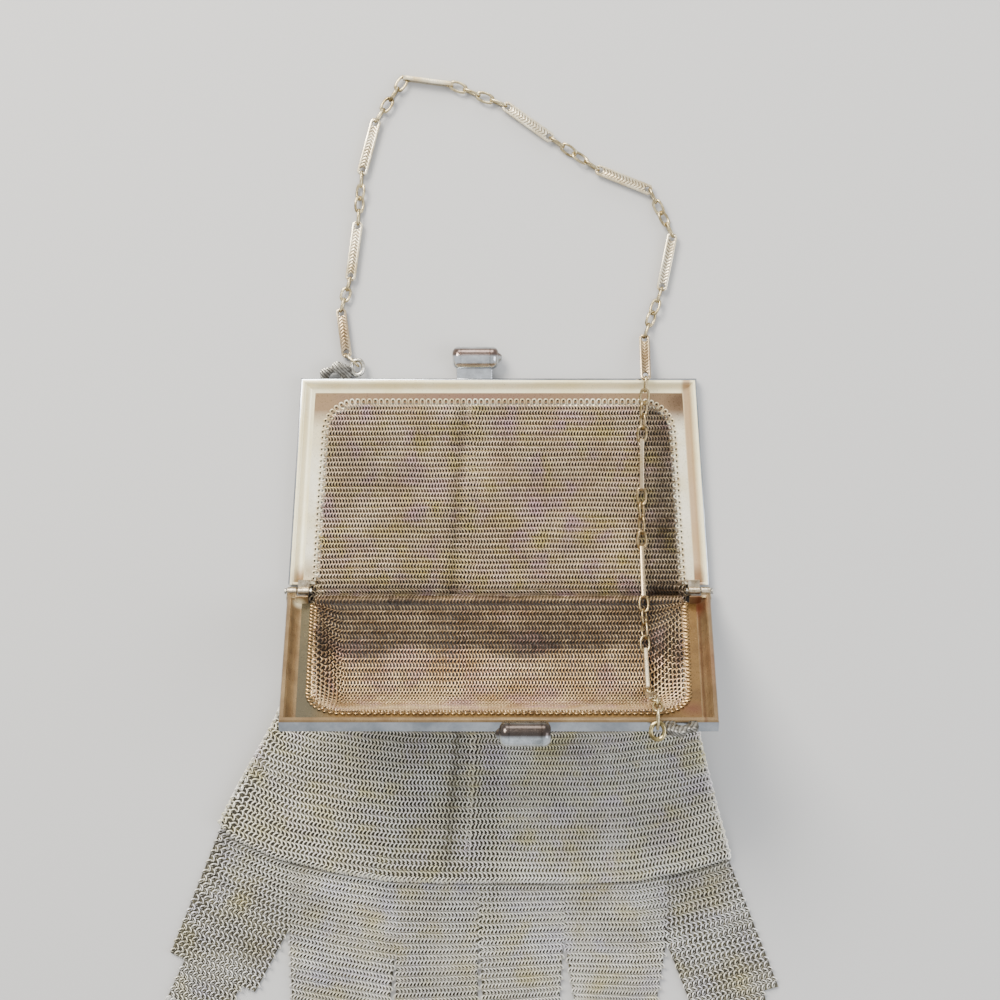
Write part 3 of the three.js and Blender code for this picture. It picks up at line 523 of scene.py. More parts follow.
def absorb(bm, other, matrix=Matrix.Identity(4)):
    """Adds another bmesh at a place, and frees it."""
    bmesh.ops.transform(other, matrix=matrix, verts=other.verts)
    mesh = bpy.data.meshes.new("absorbed")
    other.to_mesh(mesh)
    other.free()
    bm.from_mesh(mesh)
    bpy.data.meshes.remove(mesh)


# Frame outlines, in a half's own frame: hinge axis along X, rail towards +Y, lip at z = 0

def side_at(reach):
    """The frame's half width at a reach from the hinge."""
    return (HINGE_WIDTH + (RAIL_WIDTH - HINGE_WIDTH) * reach / FRAME_REACH) / 2


def opening_corner(inset):
    """The radius of the opening's corners, and how far the opening reaches."""
    return OPENING_RADIUS + HOLE_EDGE - inset, FRAME_REACH - RAIL_SECTION + HOLE_EDGE - inset


def opening_at(reach, inset):
    """The opening's half width at a reach."""
    radius, top = opening_corner(inset)
    side = side_at(reach) - SIDE_SECTION + HOLE_EDGE - inset
    past = np.clip(reach - (top - radius), 0, radius)
    return side - radius + np.sqrt(radius ** 2 - past ** 2)


def opening_outline(inset, start, steps=14):
    """The opening's outline from the right arm's end, over the top to the left arm's end."""
    radius, top = opening_corner(inset)
    right = [(float(opening_at(start, inset)), start)]
    for i in range(steps + 1):
        angle = math.pi / 2 * i / steps
        reach = top - radius + radius * math.sin(angle)
        side = side_at(reach) - SIDE_SECTION + HOLE_EDGE - inset - radius
        right.append((side + radius * math.cos(angle), reach))
    return right + [(-x, y) for x, y in reversed(right)]


def tray_outline(inset, start):
    rail = FRAME_REACH - inset
    return [(-side_at(start) + inset, start), (-side_at(rail) + inset, rail),
            (side_at(rail) - inset, rail), (side_at(start) - inset, start)]


def unit(vectors):
    """Vectors along the last axis, each made one long."""
    return vectors / np.linalg.norm(vectors, axis=-1, keepdims=True)


def run_along(line):
    """How far along a line each of its points lies."""
    return np.concatenate([[0], np.cumsum(np.linalg.norm(np.diff(line, axis=0), axis=1))])


def spaced(points, pitch):
    """Places along an open line, about a pitch apart and a multiple of four in number, as in
    the solids, with the line's direction at each."""
    line = np.array(points, dtype=float)
    along = run_along(line)

    def place(at):
        return np.stack([np.interp(at, along, line[:, k]) for k in range(line.shape[1])], axis=1)

    at = np.linspace(0, along[-1], 4 * int(along[-1] / (pitch * 4)) + 1)
    return place(at), unit(place(at + 0.05) - place(at - 0.05))


# The rim's section: distance in from the outer edge, and height
RIM_SECTION = [(0.25, -4.2), (0.0, -3.95), (0.0, -0.8), (0.1, -0.4), (0.3, -0.13), (0.62, 0.0),
               (1.2, 0.0), (1.34, -0.05), (1.4, -0.18), (1.4, -0.5), (1.55, -0.56), (1.8, -0.85),
               (2.1, -1.35), (2.5, -1.9), (3.0, -2.4), (3.6, -2.78), (4.1, -2.95), (4.5, -3.0),
               (4.5, -4.2)]


def frame_rim(name, half, material, silver_edge):
    """Lip, step, cove and outer wall, swept round the three sides with mitred corners."""
    bm = bmesh.new()
    last = len(RIM_SECTION)
    corners = 4

    def place(row, column):
        inset, height = RIM_SECTION[round(row * last) % last]
        x, y = tray_outline(inset, ARM_END)[round(column * (corners - 1))]
        return Vector((x, y, height))

    grid(bm, last + 1, corners, place)
    bmesh.ops.remove_doubles(bm, verts=bm.verts, dist=0.001)
    bmesh.ops.holes_fill(bm, edges=bm.edges, sides=0)
    bmesh.ops.recalc_face_normals(bm, faces=bm.faces)
    for face in bm.faces:
        middle = face.calc_center_median()
        outside = face.normal.z < -0.5 or max(abs(middle.x) - side_at(middle.y),
                                              middle.y - FRAME_REACH) > -silver_edge
        face.material_index = int(outside)
    for sign in (-1, 1):
        wall = bmesh.new()
        box(wall, (sign * (side_at(ARM_END) - 1 - END_WALL_WIDTH / 2), ARM_END + END_WALL / 2,
                   -END_WALL_DROP - END_WALL_HEIGHT / 2),
            (END_WALL_WIDTH, END_WALL, END_WALL_HEIGHT), bevel=0.12)
        absorb(bm, wall)
    piece = finish(bm, name, material, half=half, crisp=30)
    piece.data.materials.append(outer_silver)
    return piece


def pierced_strip(name, half, material):
    """The flat strip round the opening, with every hole cut through."""
    bm = bmesh.new()
    outer = tray_outline(LIP_WIDTH + COVE_WIDTH, ARM_END)
    outline = outer + opening_outline(HOLE_EDGE, ARM_END)
    places, _ = spaced(opening_outline(0, ARM_END + HOLE_PITCH), HOLE_PITCH)
    round_hole = [(math.cos(2 * math.pi * k / 10), math.sin(2 * math.pi * k / 10)) for k in range(10)]
    holes = [[(x + HOLE_DIAMETER / 2 * c, y + HOLE_DIAMETER / 2 * s) for c, s in round_hole]
             for x, y in places]
    plate(bm, outline, holes, -FRAME_DEPTH, STRIP_THICKNESS - FRAME_DEPTH)
    finish(bm, name, material, half=half)
    # A dark backing sheet under the holes paints the shade seen through them
    backing = bmesh.new()
    middle = STRIP_THICKNESS / 2 - FRAME_DEPTH
    band = opening_outline(-0.6, ARM_END + 0.3) + opening_outline(0.6, ARM_END + 0.3)[::-1]
    plate(backing, band, [], middle - 0.1, middle + 0.1)
    finish(backing, name + "_backing", hole_shade, half=half)


def clasp_barrel(name, half, node, material):
    """A hollow-looking barrel with domed ends, a turned groove at each and a small tip."""
    radius = BARREL_DIAMETER / 2
    dome = radius * 0.55
    ends = [(0.0, 0.0), (0.0, radius * 0.5), (dome * 0.03, radius * 0.62), (dome * 0.35, radius * 0.88),
            (dome * 0.75, radius * 0.985), (dome, radius), (dome + 0.5, radius), (dome + 0.6, radius * 0.965),
            (dome + 0.8, radius * 0.965), (dome + 0.9, radius)]
    right = [(BARREL_LENGTH - x, r) for x, r in reversed(ends[1:])]
    tip = [(BARREL_LENGTH + BARREL_TIP * 0.55, 1.2), (BARREL_LENGTH + BARREL_TIP * 0.9, 0.8),
           (BARREL_LENGTH + BARREL_TIP, 0.0)]
    bm = bmesh.new()
    turned(bm, ends + right + tip, 36)
    bmesh.ops.translate(bm, verts=bm.verts, vec=(BARREL_RIGHT - BARREL_LENGTH,
                                                 FRAME_REACH + BARREL_STANDOFF, 0))
    neck = bmesh.new()
    neck_right = BARREL_RIGHT - dome
    low = -BARREL_NECK_THICKNESS - LIP_STEP
    neck_x = neck_right - BARREL_NECK / 2
    box(neck, (neck_x, FRAME_REACH + (BARREL_STANDOFF - LIP_WIDTH / 2) / 2, low + BARREL_NECK_THICKNESS / 2),
        (BARREL_NECK, BARREL_STANDOFF + LIP_WIDTH / 2, BARREL_NECK_THICKNESS), bevel=0.3, segments=2)
    absorb(bm, neck)
    for k in range(NECK_RIBS):
        rib = bmesh.new()
        box(rib, (neck_x, FRAME_REACH + 0.5 + NECK_RIB_PITCH * k, low + BARREL_NECK_THICKNESS),
            (BARREL_NECK, NECK_RIB, NECK_RIB))
        absorb(bm, rib)
    finish(bm, name, material, nodes=[node], half=half)


LEAF = [(0.04, 0.0), (0.0, 0.2), (-0.01, 0.5), (0.04, 0.66), (0.12, 0.74), (0.24, 0.76), (0.34, 0.8),
        (0.38, 0.98), (0.44, 1.08), (0.54, 1.12), (0.64, 1.08), (0.8, 0.94), (0.94, 0.84), (1.0, 0.72),
        (0.99, 0.3), (0.97, 0.0)]
ARCH = [(1.0, 0.3), (0.86, 0.75), (0.62, 0.98), (0.4, 0.96), (0.16, 0.7), (0.02, 0.25)]


def chain_bracket(name, half, node, eye_tilt, eye_material):
    """A small cast leaf on two feet with an arch between them, and the eye that holds the chain."""
    foot = FRAME_REACH - LIP_WIDTH / 2
    arch_from = -BRACKET_FROM + FOOT_WIDTH
    leaf = [(-BRACKET_FROM + BRACKET_LENGTH * a, foot + BRACKET_HEIGHT * u) for a, u in LEAF]
    arch = [(arch_from + ARCH_WIDTH * a, FRAME_REACH + ARCH_HEIGHT * u) for a, u in ARCH]
    outline = leaf + [(arch_from + ARCH_WIDTH, foot)] + arch + [(arch_from, foot)]
    bm = bmesh.new()
    plate(bm, outline, [], -BRACKET_DROP - BRACKET_THICKNESS / 2, -BRACKET_DROP + BRACKET_THICKNESS / 2,
          bevel=0.28)
    place = (Matrix.Translation((-EYE_CENTRE, FRAME_REACH + EYE_STANDOFF, -BRACKET_DROP))
             @ Matrix.Rotation(eye_tilt, 4, "X") @ Matrix.Rotation(math.pi / 2, 4, "Z"))
    finish(bm, name, bracket_silver, nodes=[node], half=half)
    eye = bmesh.new()
    absorb(eye, wire_ring(EYE_LENGTH, EYE_WIDTH, EYE_WIRE, 28, 10), place)
    finish(eye, name + "_eye", eye_material, nodes=[node], half=half, crisp=80)


def hinge_knuckles(name, half, node, inner, outer):
    """The knuckles at both arm ends, each on its web, with bored ends for the pin."""
    bm = bmesh.new()
    radius = KNUCKLE_DIAMETER / 2
    for sign in (-1, 1):
        knuckle = bmesh.new()
        edge = KNUCKLE_EDGE
        turned(knuckle, [(inner, 0.5), (inner, radius - edge), (inner + edge, radius),
                         (outer - edge, radius), (outer, radius - edge), (outer, 0.5)], 20)
        box(knuckle, ((outer + inner) / 2, (ARM_END + LIP_WIDTH) / 2, -0.3 - KNUCKLE_WEB / 2),
            (outer - inner, ARM_END + LIP_WIDTH, KNUCKLE_WEB))
        absorb(bm, knuckle, Matrix.Diagonal((sign, 1, 1, 1)))
    finish(bm, name, knuckle_gilt, nodes=[node], half=half)


def edge_hooks(name, half, material):
    """Wire rings that tie the mesh to the pierced strip, one through each hole, lying across
    the strip's edge."""
    places, ways = spaced(opening_outline(0, ARM_END + HOLE_PITCH), HOLE_PITCH)
    bm = bmesh.new()
    for (x, y), (wx, wy) in zip(places, ways):
        inward = Vector((-wy, wx, 0))
        along = Vector((wx, wy, 0))
        basis = Matrix((inward, along, inward.cross(along))).transposed().to_4x4()
        slope = Matrix.Rotation(math.radians(-12), 4, "Y")
        centre = Vector((x, y, STRIP_THICKNESS - FRAME_DEPTH + 0.2)) + inward * 0.75
        place = Matrix.Translation(centre) @ basis @ slope
        absorb(bm, wire_ring(TIE_LENGTH, TIE_WIDTH, TIE_WIRE, 12, 4), place)
    finish(bm, name, material, half=half, recalculate=False, crisp=80)


side = HINGE_WIDTH / 2
inner_span = (side - OUTER_KNUCKLE - KNUCKLE_GAP - INNER_KNUCKLE, side - OUTER_KNUCKLE - KNUCKLE_GAP)
outer_span = (side - OUTER_KNUCKLE, side)

# Each half: its place, tray gilt, width of silver left on its rim, strip gilt, barrel metal,
# turn and metal of its eye, where its knuckles lie, and the wire of its tie rings
HALVES = {
    "back": (BACK_HALF, back_gilt, 0.55, back_strip_gilt, barrel_silver, 0, back_eye_silver,
             inner_span, back_tie_wire),
    "front": (FRONT_HALF, front_gilt, 0.04, front_strip_gilt, front_barrel_silver, -FRONT_TILT,
              front_eye_gilt, outer_span, front_tie_wire),
}
for word, (half, tray, silver_edge, strip, barrel, tilt, eye, span, tie) in HALVES.items():
    frame_rim(f"{word}_rim", half, tray, silver_edge)
    pierced_strip(f"{word}_strip", half, strip)
    clasp_barrel(f"{word}_barrel", half, f"{word}_frame", barrel)
    chain_bracket(f"{word}_bracket", half, f"{word}_frame", tilt, eye)
    hinge_knuckles(f"{word}_knuckles", half, f"{word}_frame", *span)
    edge_hooks(f"{word}_edge_rings", half, tie)

for pin in ("hinge_pin_left", "hinge_pin_right"):
    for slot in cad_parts[pin].material_slots:
        slot.material = pin_silver


# Mesh surfaces, in millimetres, for arrays of shares

BACK_MIDDLE = MESH_THICKNESS / 2
FRONT_MIDDLE = MESH_THICKNESS * 1.5 + WALL_GAP
PANEL_TOP = FRAME_REACH - RAIL_SECTION - PANEL_INSET
STRIP_MIDDLE = FRAME_DEPTH - STRIP_THICKNESS / 2


def front_point(reach, depth):
    """How far back and up a place on the raised half lies."""
    return (-reach * math.cos(FRONT_TILT) - depth * math.sin(FRONT_TILT),
            FRAME_DEPTH + reach * math.sin(FRONT_TILT) - depth * math.cos(FRONT_TILT))


def mix(a, b, share):
    """Part of the way from a to b."""
    return a + (b - a) * share


def ease(low, high, value):
    """A smooth rise from 0 at low to 1 at high."""
    share = np.clip((value - low) / (high - low), 0, 1)
    return share * share * (3 - 2 * share)


def bell(value, middle, width):
    """One at the middle, falling off smoothly to both sides."""
    return np.exp(-((value - middle) / width) ** 2)


def edge_at(reach):
    """The half width of the mesh panels at a reach."""
    return opening_at(reach, HOLE_EDGE + PANEL_INSET)


def drape_point(along):
    """The drape's middle line, with its corners eased."""
    knots = np.linspace(0, 1, len(DRAPE_BACK))
    near = [np.clip(along + shift, 0, 1) for shift in (-0.04, 0, 0, 0.04)]
    back = sum(np.interp(a, knots, DRAPE_BACK) for a in near) / 4
    up = sum(np.interp(a, knots, DRAPE_UP) for a in near) / 4
    strip_y, strip_z = front_point(PANEL_TOP, STRIP_MIDDLE)
    return mix(-CREASE_SETBACK, strip_y, back), mix(CREASE_HEIGHT, strip_z, up)


def inner_points(share, along):
    """The panel inside the front half: draped at mid width, drawn up to the arms at its sides."""
    reach = PANEL_TOP * (1 - along)
    edge = edge_at(reach)
    x = share * edge
    middle_y, middle_z = drape_point(along)
    arm_y, arm_z = front_point(reach, STRIP_MIDDLE)
    fade = ease(ARM_FADE, 1, along)
    arm_y = mix(arm_y, -CREASE_SETBACK, fade)
    arm_z = mix(arm_z, CREASE_HEIGHT, fade)
    rise = np.where(share < 0, RISE_LEFT, RISE_RIGHT)
    near = np.clip(1 - (edge - np.abs(x)) / rise, 0, None)
    pull = near * near
    fold = bell(x, -14, 3.0) * ease(0.15, 0.4, along) * (1 - ease(0.85, 1, along))
    return np.stack([x, mix(middle_y, arm_y, pull), mix(middle_z, arm_z, pull) + fold], axis=-1)


def pouch_x(share, down):
    mouth = edge_at(0.0)
    left = np.interp(down, SPREAD_DOWN, SPREAD_LEFT)
    right = np.interp(down, SPREAD_DOWN, SPREAD_RIGHT)
    full = np.where(share < 0, mix(mouth, SKIRT_LEFT, left), mix(mouth, SKIRT_RIGHT, right))
    return share * full


def join_y(share):
    return -POUCH_BOTTOM + JOIN_RISE * np.interp(share, JOIN_ACROSS, JOIN_LIFT)


def fold_height(share):
    return sum(height * (1 + np.cos(np.pi * np.clip(np.abs(share - place) / half, 0, 1))) / 2
               for place, half, height in FOLDS)


def wall_points(share, down, z):
    return np.stack([pouch_x(share, down), mix(-CREASE_SETBACK, join_y(share), down), z + 0 * share], axis=-1)


def front_wall_points(share, down):
    fade = ease(0.25, 0.5, down) * (1 - ease(0.85, 1, down))
    return wall_points(share, down, FRONT_MIDDLE + fade * fold_height(share))


def back_points(share, reach):
    """The back panel in the back half's opening, with the soft folds it lies in."""
    x = share * (side_at(reach) - SIDE_SECTION - 0.2)
    slant = BACK_FOLD_SLANT * (1 - reach / PANEL_TOP)
    valley = -0.5 * bell(x, -BACK_VALLEY - slant, 1.6)
    ridge = 0.9 * bell(x, -7.5 - slant, 2.6)
    low = 0.35 * bell(x, -27, 3) + 0.45 * bell(x, 14, 3.5)
    return np.stack([x, reach + 0 * x, BACK_MIDDLE + 0.85 + valley + ridge + low], axis=-1)


# Rings

def weave(name, points, across, down, parity, shade, material, nodes, swing=35, dip=-15, lean=55, size=1.0):
    """Copies one wire ring to every place. Rows lean over their neighbours to the one side
    and the other by turns, and swing and dip with it, which makes the zigzag of ring mesh."""
    one = wire_ring(RING_DIAMETER, RING_DIAMETER, RING_WIRE, 7, 3)
    shape = np.array([v.co[:] for v in one.verts]) * size
    faces = np.array([[v.index for v in f.verts] for f in one.faces])
    one.free()
    normal = unit(np.cross(down, across))
    sign = parity[:, None]
    swing, dip, lean = math.radians(swing), math.radians(dip), math.radians(lean)
    flat_long = math.cos(swing) * down + sign * math.sin(swing) * across
    flat_side = math.cos(swing) * across - sign * math.sin(swing) * down
    long = unit(math.cos(dip) * flat_long + sign * math.sin(dip) * normal)
    lying = math.cos(lean) * flat_side + sign * math.sin(lean) * normal
    lying = unit(lying - np.sum(lying * long, axis=1)[:, None] * long)
    axis = np.cross(lying, long)
    verts = (points[:, None, :] + shape[None, :, 0, None] * lying[:, None, :]
             + shape[None, :, 1, None] * long[:, None, :] + shape[None, :, 2, None] * axis[:, None, :])
    verts = verts.reshape(-1, 3)
    verts[:, 1] -= HINGE_TO_ORIGIN
    verts *= MM
    count = len(points)
    index = (faces[None, :, :] + (np.arange(count) * len(shape))[:, None, None]).reshape(-1, faces.shape[1])
    mesh = bpy.data.meshes.new(name)
    mesh.from_pydata(verts.tolist(), [], index.tolist())
    mesh.shade_smooth()
    own = mesh.attributes.new("shade", "FLOAT", "POINT")
    own.data.foreach_set("value", np.repeat(shade, len(shape)).astype(np.float32))
    dress(mesh, name, material, nodes)


def directions(rows_of_points):
    """Unit steps across and down for a grid of places, rows first."""
    across = unit(np.gradient(rows_of_points, axis=1))
    down = np.gradient(rows_of_points, axis=0)
    return across, unit(down - np.sum(down * across, axis=2)[:, :, None] * across)


def weave_grid(name, points, keep, shade, material, nodes, pieces=1, **ways):
    """Rings on a grid of places, every second row slid half a ring along, in a number of pieces."""
    across, down = directions(points)
    rows, columns = points.shape[:2]
    parity = np.where(np.arange(rows) % 2 == 0, 1.0, -1.0)[:, None] * np.ones((rows, columns))
    moved = points + ROW_SLIDE * parity[:, :, None] * np.gradient(points, axis=1)
    bounds = np.linspace(0, rows, pieces + 1).astype(int)
    for i in range(pieces):
        part = slice(bounds[i], bounds[i + 1])
        kept = keep[part].reshape(-1)
        flat = [grid_[part].reshape(-1, 3)[kept] for grid_ in (moved, across, down)]
        label = name if pieces == 1 else f"{name}_{i + 1}"
        weave(label, *flat, parity[part].reshape(-1)[kept], shade[part].reshape(-1)[kept], material,
              nodes, **ways)


random_tint = np.random.default_rng(7)


def tinted(shade):
    """A ring's own shade, a little lighter or darker than its neighbours, in soft drifts."""
    return np.clip(shade + random_tint.normal(0, 0.05, shade.shape) + 0.09 * drift(shade.shape), 0, 1)


def drift(shape, row_cell=3, column_cell=14):
    """Smooth random waves of about unit height over a grid."""
    knots = random_tint.normal(0, 1, (shape[0] // row_cell + 2, shape[1] // column_cell + 2))
    wide = np.array([np.interp(np.arange(shape[1]) / column_cell, np.arange(knots.shape[1]), row)
                     for row in knots])
    return np.array([np.interp(np.arange(shape[0]) / row_cell, np.arange(knots.shape[0]), column)
                     for column in wide.T]).T


def rumpled(points, along, up):
    """Rows pushed a little along the sheet and up, as worn mesh lies."""
    shape = points.shape[:2]
    points[:, :, 1] += along * drift(shape, 5, 18)
    points[:, :, 2] += up * np.abs(drift(shape, 6, 12))
    return points


# Back panel
columns = np.linspace(-1, 1, int(BACK_PANEL_WIDTH / BACK_COLUMN_PITCH))
reaches = np.arange(BACK_ROWS_FROM, BACK_ROWS_TO, -BACK_ROW_PITCH)
share, reach = np.meshgrid(columns, reaches)
points = rumpled(back_points(share, reach), 0.18, 0.15)
keep = np.abs(points[:, :, 0]) < opening_at(np.clip(reach, 0, 60), HOLE_EDGE) - 0.9
x = points[:, :, 0]
valley_line = bell(x, -BACK_VALLEY - BACK_FOLD_SLANT * (1 - reach / PANEL_TOP), 2.0)
right_dark = ease(42, 52, x) * 0.6
shade = (0.86 - 0.35 * valley_line - right_dark) * (0.45 + 0.55 * ease(-3, 5, reach))
weave_grid("back_panel_rings", points, keep, tinted(shade), back_rings, ["mesh_pouch"], pieces=2,
           size=PANEL_RING_SIZE)

# Front panel inside the raised half, rows equally far apart along its drape and its fold
fine = np.linspace(0, 1, 400)
line = inner_points(np.zeros(400), fine)
length = run_along(line)
alongs = np.interp(np.arange(INNER_PITCH * 0.4, length[-1], INNER_PITCH), length, fine)
share, along = np.meshgrid(np.linspace(-1, 1, PANEL_COLUMNS), alongs)
points = inner_points(share, along)
fold_radius = (CREASE_HEIGHT - FRONT_MIDDLE) / 2
angles = math.pi / 2 - np.arange(INNER_PITCH * 0.6, math.pi * fold_radius, INNER_PITCH) / fold_radius
share, angle = np.meshgrid(np.linspace(-1, 1, PANEL_COLUMNS), angles)
fold_points = np.stack([pouch_x(share, 0 * share), -CREASE_SETBACK + (fold_radius + 0.3) * np.cos(angle),
                        FRONT_MIDDLE + fold_radius + (fold_radius + 0.3) * np.sin(angle)], axis=-1)
points = np.concatenate([points, fold_points])
share = points[:, :, 0]
wander = 1.5 * np.sin(points[:, :, 0] / 8.5 + 0.6) + 0.9 * np.sin(points[:, :, 0] / 3.7)
lit = ease(-17, -21, points[:, :, 1] + wander)
shade = 0.3 + 0.6 * lit
keep = np.ones(share.shape, dtype=bool)
weave_grid("front_panel_rings", points, keep, tinted(shade), front_rings, ["mesh_pouch"], pieces=2,
           size=PANEL_RING_SIZE)

# Front wall, from under the frame down to the join line
share, down = np.meshgrid(np.linspace(-1, 1, SKIRT_COLUMNS), np.linspace(0.24, 1.0, SKIRT_ROWS))
points = rumpled(front_wall_points(share, down), 0.3, 0.2)
points[:, :, 2] += 0.35
valley_line = bell(share, -0.19, 0.018) * ease(0.35, 0.45, down) * (1 - ease(0.9, 1, down))
shade = 0.86 - 0.6 * valley_line
shade[-1] = 1.0
weave_grid("skirt_rings", points, np.ones(share.shape, dtype=bool), tinted(shade), skirt_rings,
           ["mesh_pouch"], pieces=2)

# Rings of the side seams, which lie flatter and brighter than the weave
edge_downs = np.linspace(0.2, 1.0, SEAM_RINGS)
for side_name, edge_share in (("left", -1.0), ("right", 1.0)):
    points = front_wall_points(np.full(SEAM_RINGS, edge_share), edge_downs)
    points[:, 2] = FRONT_MIDDLE - 0.2
    way = unit(np.gradient(points, axis=0))
    level = unit(np.cross(way, np.tile([0.0, 0.0, -1.0], (SEAM_RINGS, 1))))
    turns = np.where(np.arange(SEAM_RINGS) % 2 == 0, 1.0, -1.0)
    weave(f"{side_name}_seam_rings", points, level, way, turns, np.full(SEAM_RINGS, 1.0), skirt_rings,
          ["mesh_pouch"], swing=12, dip=0, lean=24)

# Mesh between the arms' ends at the hinges, in the shadow there
for side_name, sign in (("left", -1), ("right", 1)):
    place_x, place_y = np.meshgrid(sign * np.linspace(*GUSSET_ACROSS, 3), np.arange(*GUSSET_DOWN, -ROW_PITCH))
    points = np.stack([place_x, place_y, BACK_MIDDLE + 0.6 + 0 * place_x], axis=-1)
    if sign < 0:
        points = points[:, ::-1]
    weave_grid(f"{side_name}_gusset_rings", points, np.ones(place_x.shape, dtype=bool),
               tinted(np.full(place_x.shape, 0.35)), back_rings, ["mesh_pouch"])


# Fringe

def ahead(point, lean, reach):
    angle = math.radians(lean)
    return np.array([point[0] + reach * math.sin(angle), point[1] - reach * math.cos(angle)])


def join_point(share):
    return np.array([float(pouch_x(np.array(share), np.array(1.0))), float(join_y(share)) - FRINGE_GAP])


def slit_apex(slit):
    place, drop = slit[:2]
    return np.array([place * (SKIRT_LEFT if place < 0 else SKIRT_RIGHT), -POUCH_BOTTOM - drop * HEADER_DEPTH])


def tab_sides(i):
    """A tab's left and right edges from the join line down, as lines of three points."""
    if i == 0:
        left = [join_point(-1), join_point(-1), ahead(join_point(-1), LEFT_LEAN, OUTER_EDGE)]
    else:
        apex = slit_apex(SLITS[i - 1])
        left = [join_point(SLITS[i - 1][0]), apex, ahead(apex, SLITS[i - 1][3], TAB_LENGTH)]
    if i == len(SLITS):
        right = [join_point(1), join_point(1), ahead(join_point(1), RIGHT_LEAN, OUTER_EDGE)]
    else:
        apex = slit_apex(SLITS[i])
        right = [join_point(SLITS[i][0]), apex, ahead(apex, SLITS[i][2], TAB_LENGTH)]
    return np.array(left), np.array(right)


def fringe_rings_of(i):
    """The places of one tab's rings, row by row, and which of them are kept."""
    left, right = tab_sides(i)
    lengths = [run_along(left), run_along(right)]
    whole = (lengths[0][-1] + lengths[1][-1]) / 2
    bottom = right[-1] - left[-1]
    width = np.linalg.norm(bottom)
    axis = np.array([bottom[1], -bottom[0]]) / width
    beyond = SECOND_STEP + THIRD_STEP
    rows = round((whole + beyond) / ROW_PITCH)
    first = -1.0 if i == 0 else SLITS[i - 1][0]
    final = 1.0 if i == len(SLITS) else SLITS[i][0]
    span = abs(join_point(final)[0] - join_point(first)[0])
    count = max(round(span / FRINGE_COLUMN_PITCH), 2)
    across = (np.arange(count) + 0.5) / count
    places = np.zeros((rows, count, 3))
    kept = np.zeros((rows, count), dtype=bool)
    start = np.array([join_point(mix(first, final, a)) for a in across])
    chord = left[0] + across[:, None] * (right[0] - left[0])
    bow = start - chord
    for r in range(rows):
        t = (r + 0.6) * ROW_PITCH
        ends = []
        for line_, lengths_ in ((left, lengths[0]), (right, lengths[1])):
            at = t * lengths_[-1] / whole
            inside = min(at, lengths_[-1])
            point = np.array([np.interp(inside, lengths_, line_[:, k]) for k in range(2)])
            ends.append(point + axis * max(t - whole, 0))
        row = ends[0] + across[:, None] * (ends[1] - ends[0]) + bow * max(1 - t / 60, 0.3)
        places[r, :, :2] = row
        inset = 0 if t < whole else STEP_INSET if t < whole + SECOND_STEP else 2 * STEP_INSET
        from_edge = np.minimum(across, 1 - across) * np.linalg.norm(ends[1] - ends[0])
        kept[r] = from_edge >= inset + 0.3
    places[:, :, 2] = BACK_MIDDLE + 0.42
    return rumpled(places, 0.12, 0.15), kept


for i in range(len(SLITS) + 1):
    places, kept = fringe_rings_of(i)
    shade = 0.85 + 0 * places[:, :, 0]
    shade[0] = 0.5
    weave_grid(f"tab_rings_{i + 1}", places, kept, tinted(shade), fringe_rings, ["mesh_fringe"])


# Dark under-layers, which stand for the rings' tarnished lower halves and the walls that lie hidden, and
# paint the shade in the gaps between the rings

# Shares of a lining sheet's rows: the front sheet's drape, crease and wall, the back's panel
SHEET_DRAPE = 0.35
SHEET_CREASE = 0.07
SHEET_WALL = 0.58
SHEET_BACK = 0.4
LINING_THICKNESS = 0.3


def lining(name, rows, columns, place, material):
    bm = bmesh.new()
    grid(bm, rows, columns, place)
    piece = finish(bm, name, material, ["mesh_pouch"], crisp=80)
    solid = piece.modifiers.new("thickness", "SOLIDIFY")
    solid.thickness = LINING_THICKNESS * MM
    solid.offset = 0
    return piece


def gusset_sheet(sign):
    def place(row, column):
        return Vector((sign * mix(55.8, 60.8, column), mix(3.4, -6.8, row), 0.5))
    return place


def share_of(value):
    return np.array(value * 2 - 1)


def front_sheet(row, column):
    """From the rail down the drape, round the crease and on to the join line."""
    share = share_of(column)
    if row < SHEET_DRAPE:
        return Vector(inner_points(share, np.array(row / SHEET_DRAPE)))
    if row < SHEET_DRAPE + SHEET_CREASE:
        angle = math.pi / 2 - math.pi * (row - SHEET_DRAPE) / SHEET_CREASE
        radius = (CREASE_HEIGHT - FRONT_MIDDLE) / 2
        return Vector((float(pouch_x(share, np.array(0.0))), -CREASE_SETBACK + radius * math.cos(angle),
                       FRONT_MIDDLE + radius + radius * math.sin(angle)))
    return Vector(front_wall_points(share, np.array((row - SHEET_DRAPE - SHEET_CREASE) / SHEET_WALL)))


def back_sheet(row, column):
    share = share_of(column)
    if row < SHEET_BACK:
        reach = np.array(PANEL_TOP * (1 - row / SHEET_BACK))
        point = back_points(share, reach)
        point[0] = share * edge_at(reach)
        point[2] -= 0.35
        return Vector(point)
    return Vector(wall_points(share, np.array((row - SHEET_BACK) / (1 - SHEET_BACK)), BACK_MIDDLE))


def seam_side(share):
    def place(row, column):
        point = front_wall_points(np.array(share), np.array(row))
        point[2] = mix(BACK_MIDDLE, point[2], column)
        return Vector(point)
    return place


def seam_bottom(row, column):
    point = front_wall_points(share_of(column), np.array(1.0))
    point[2] = mix(BACK_MIDDLE, point[2], row)
    return Vector(point)


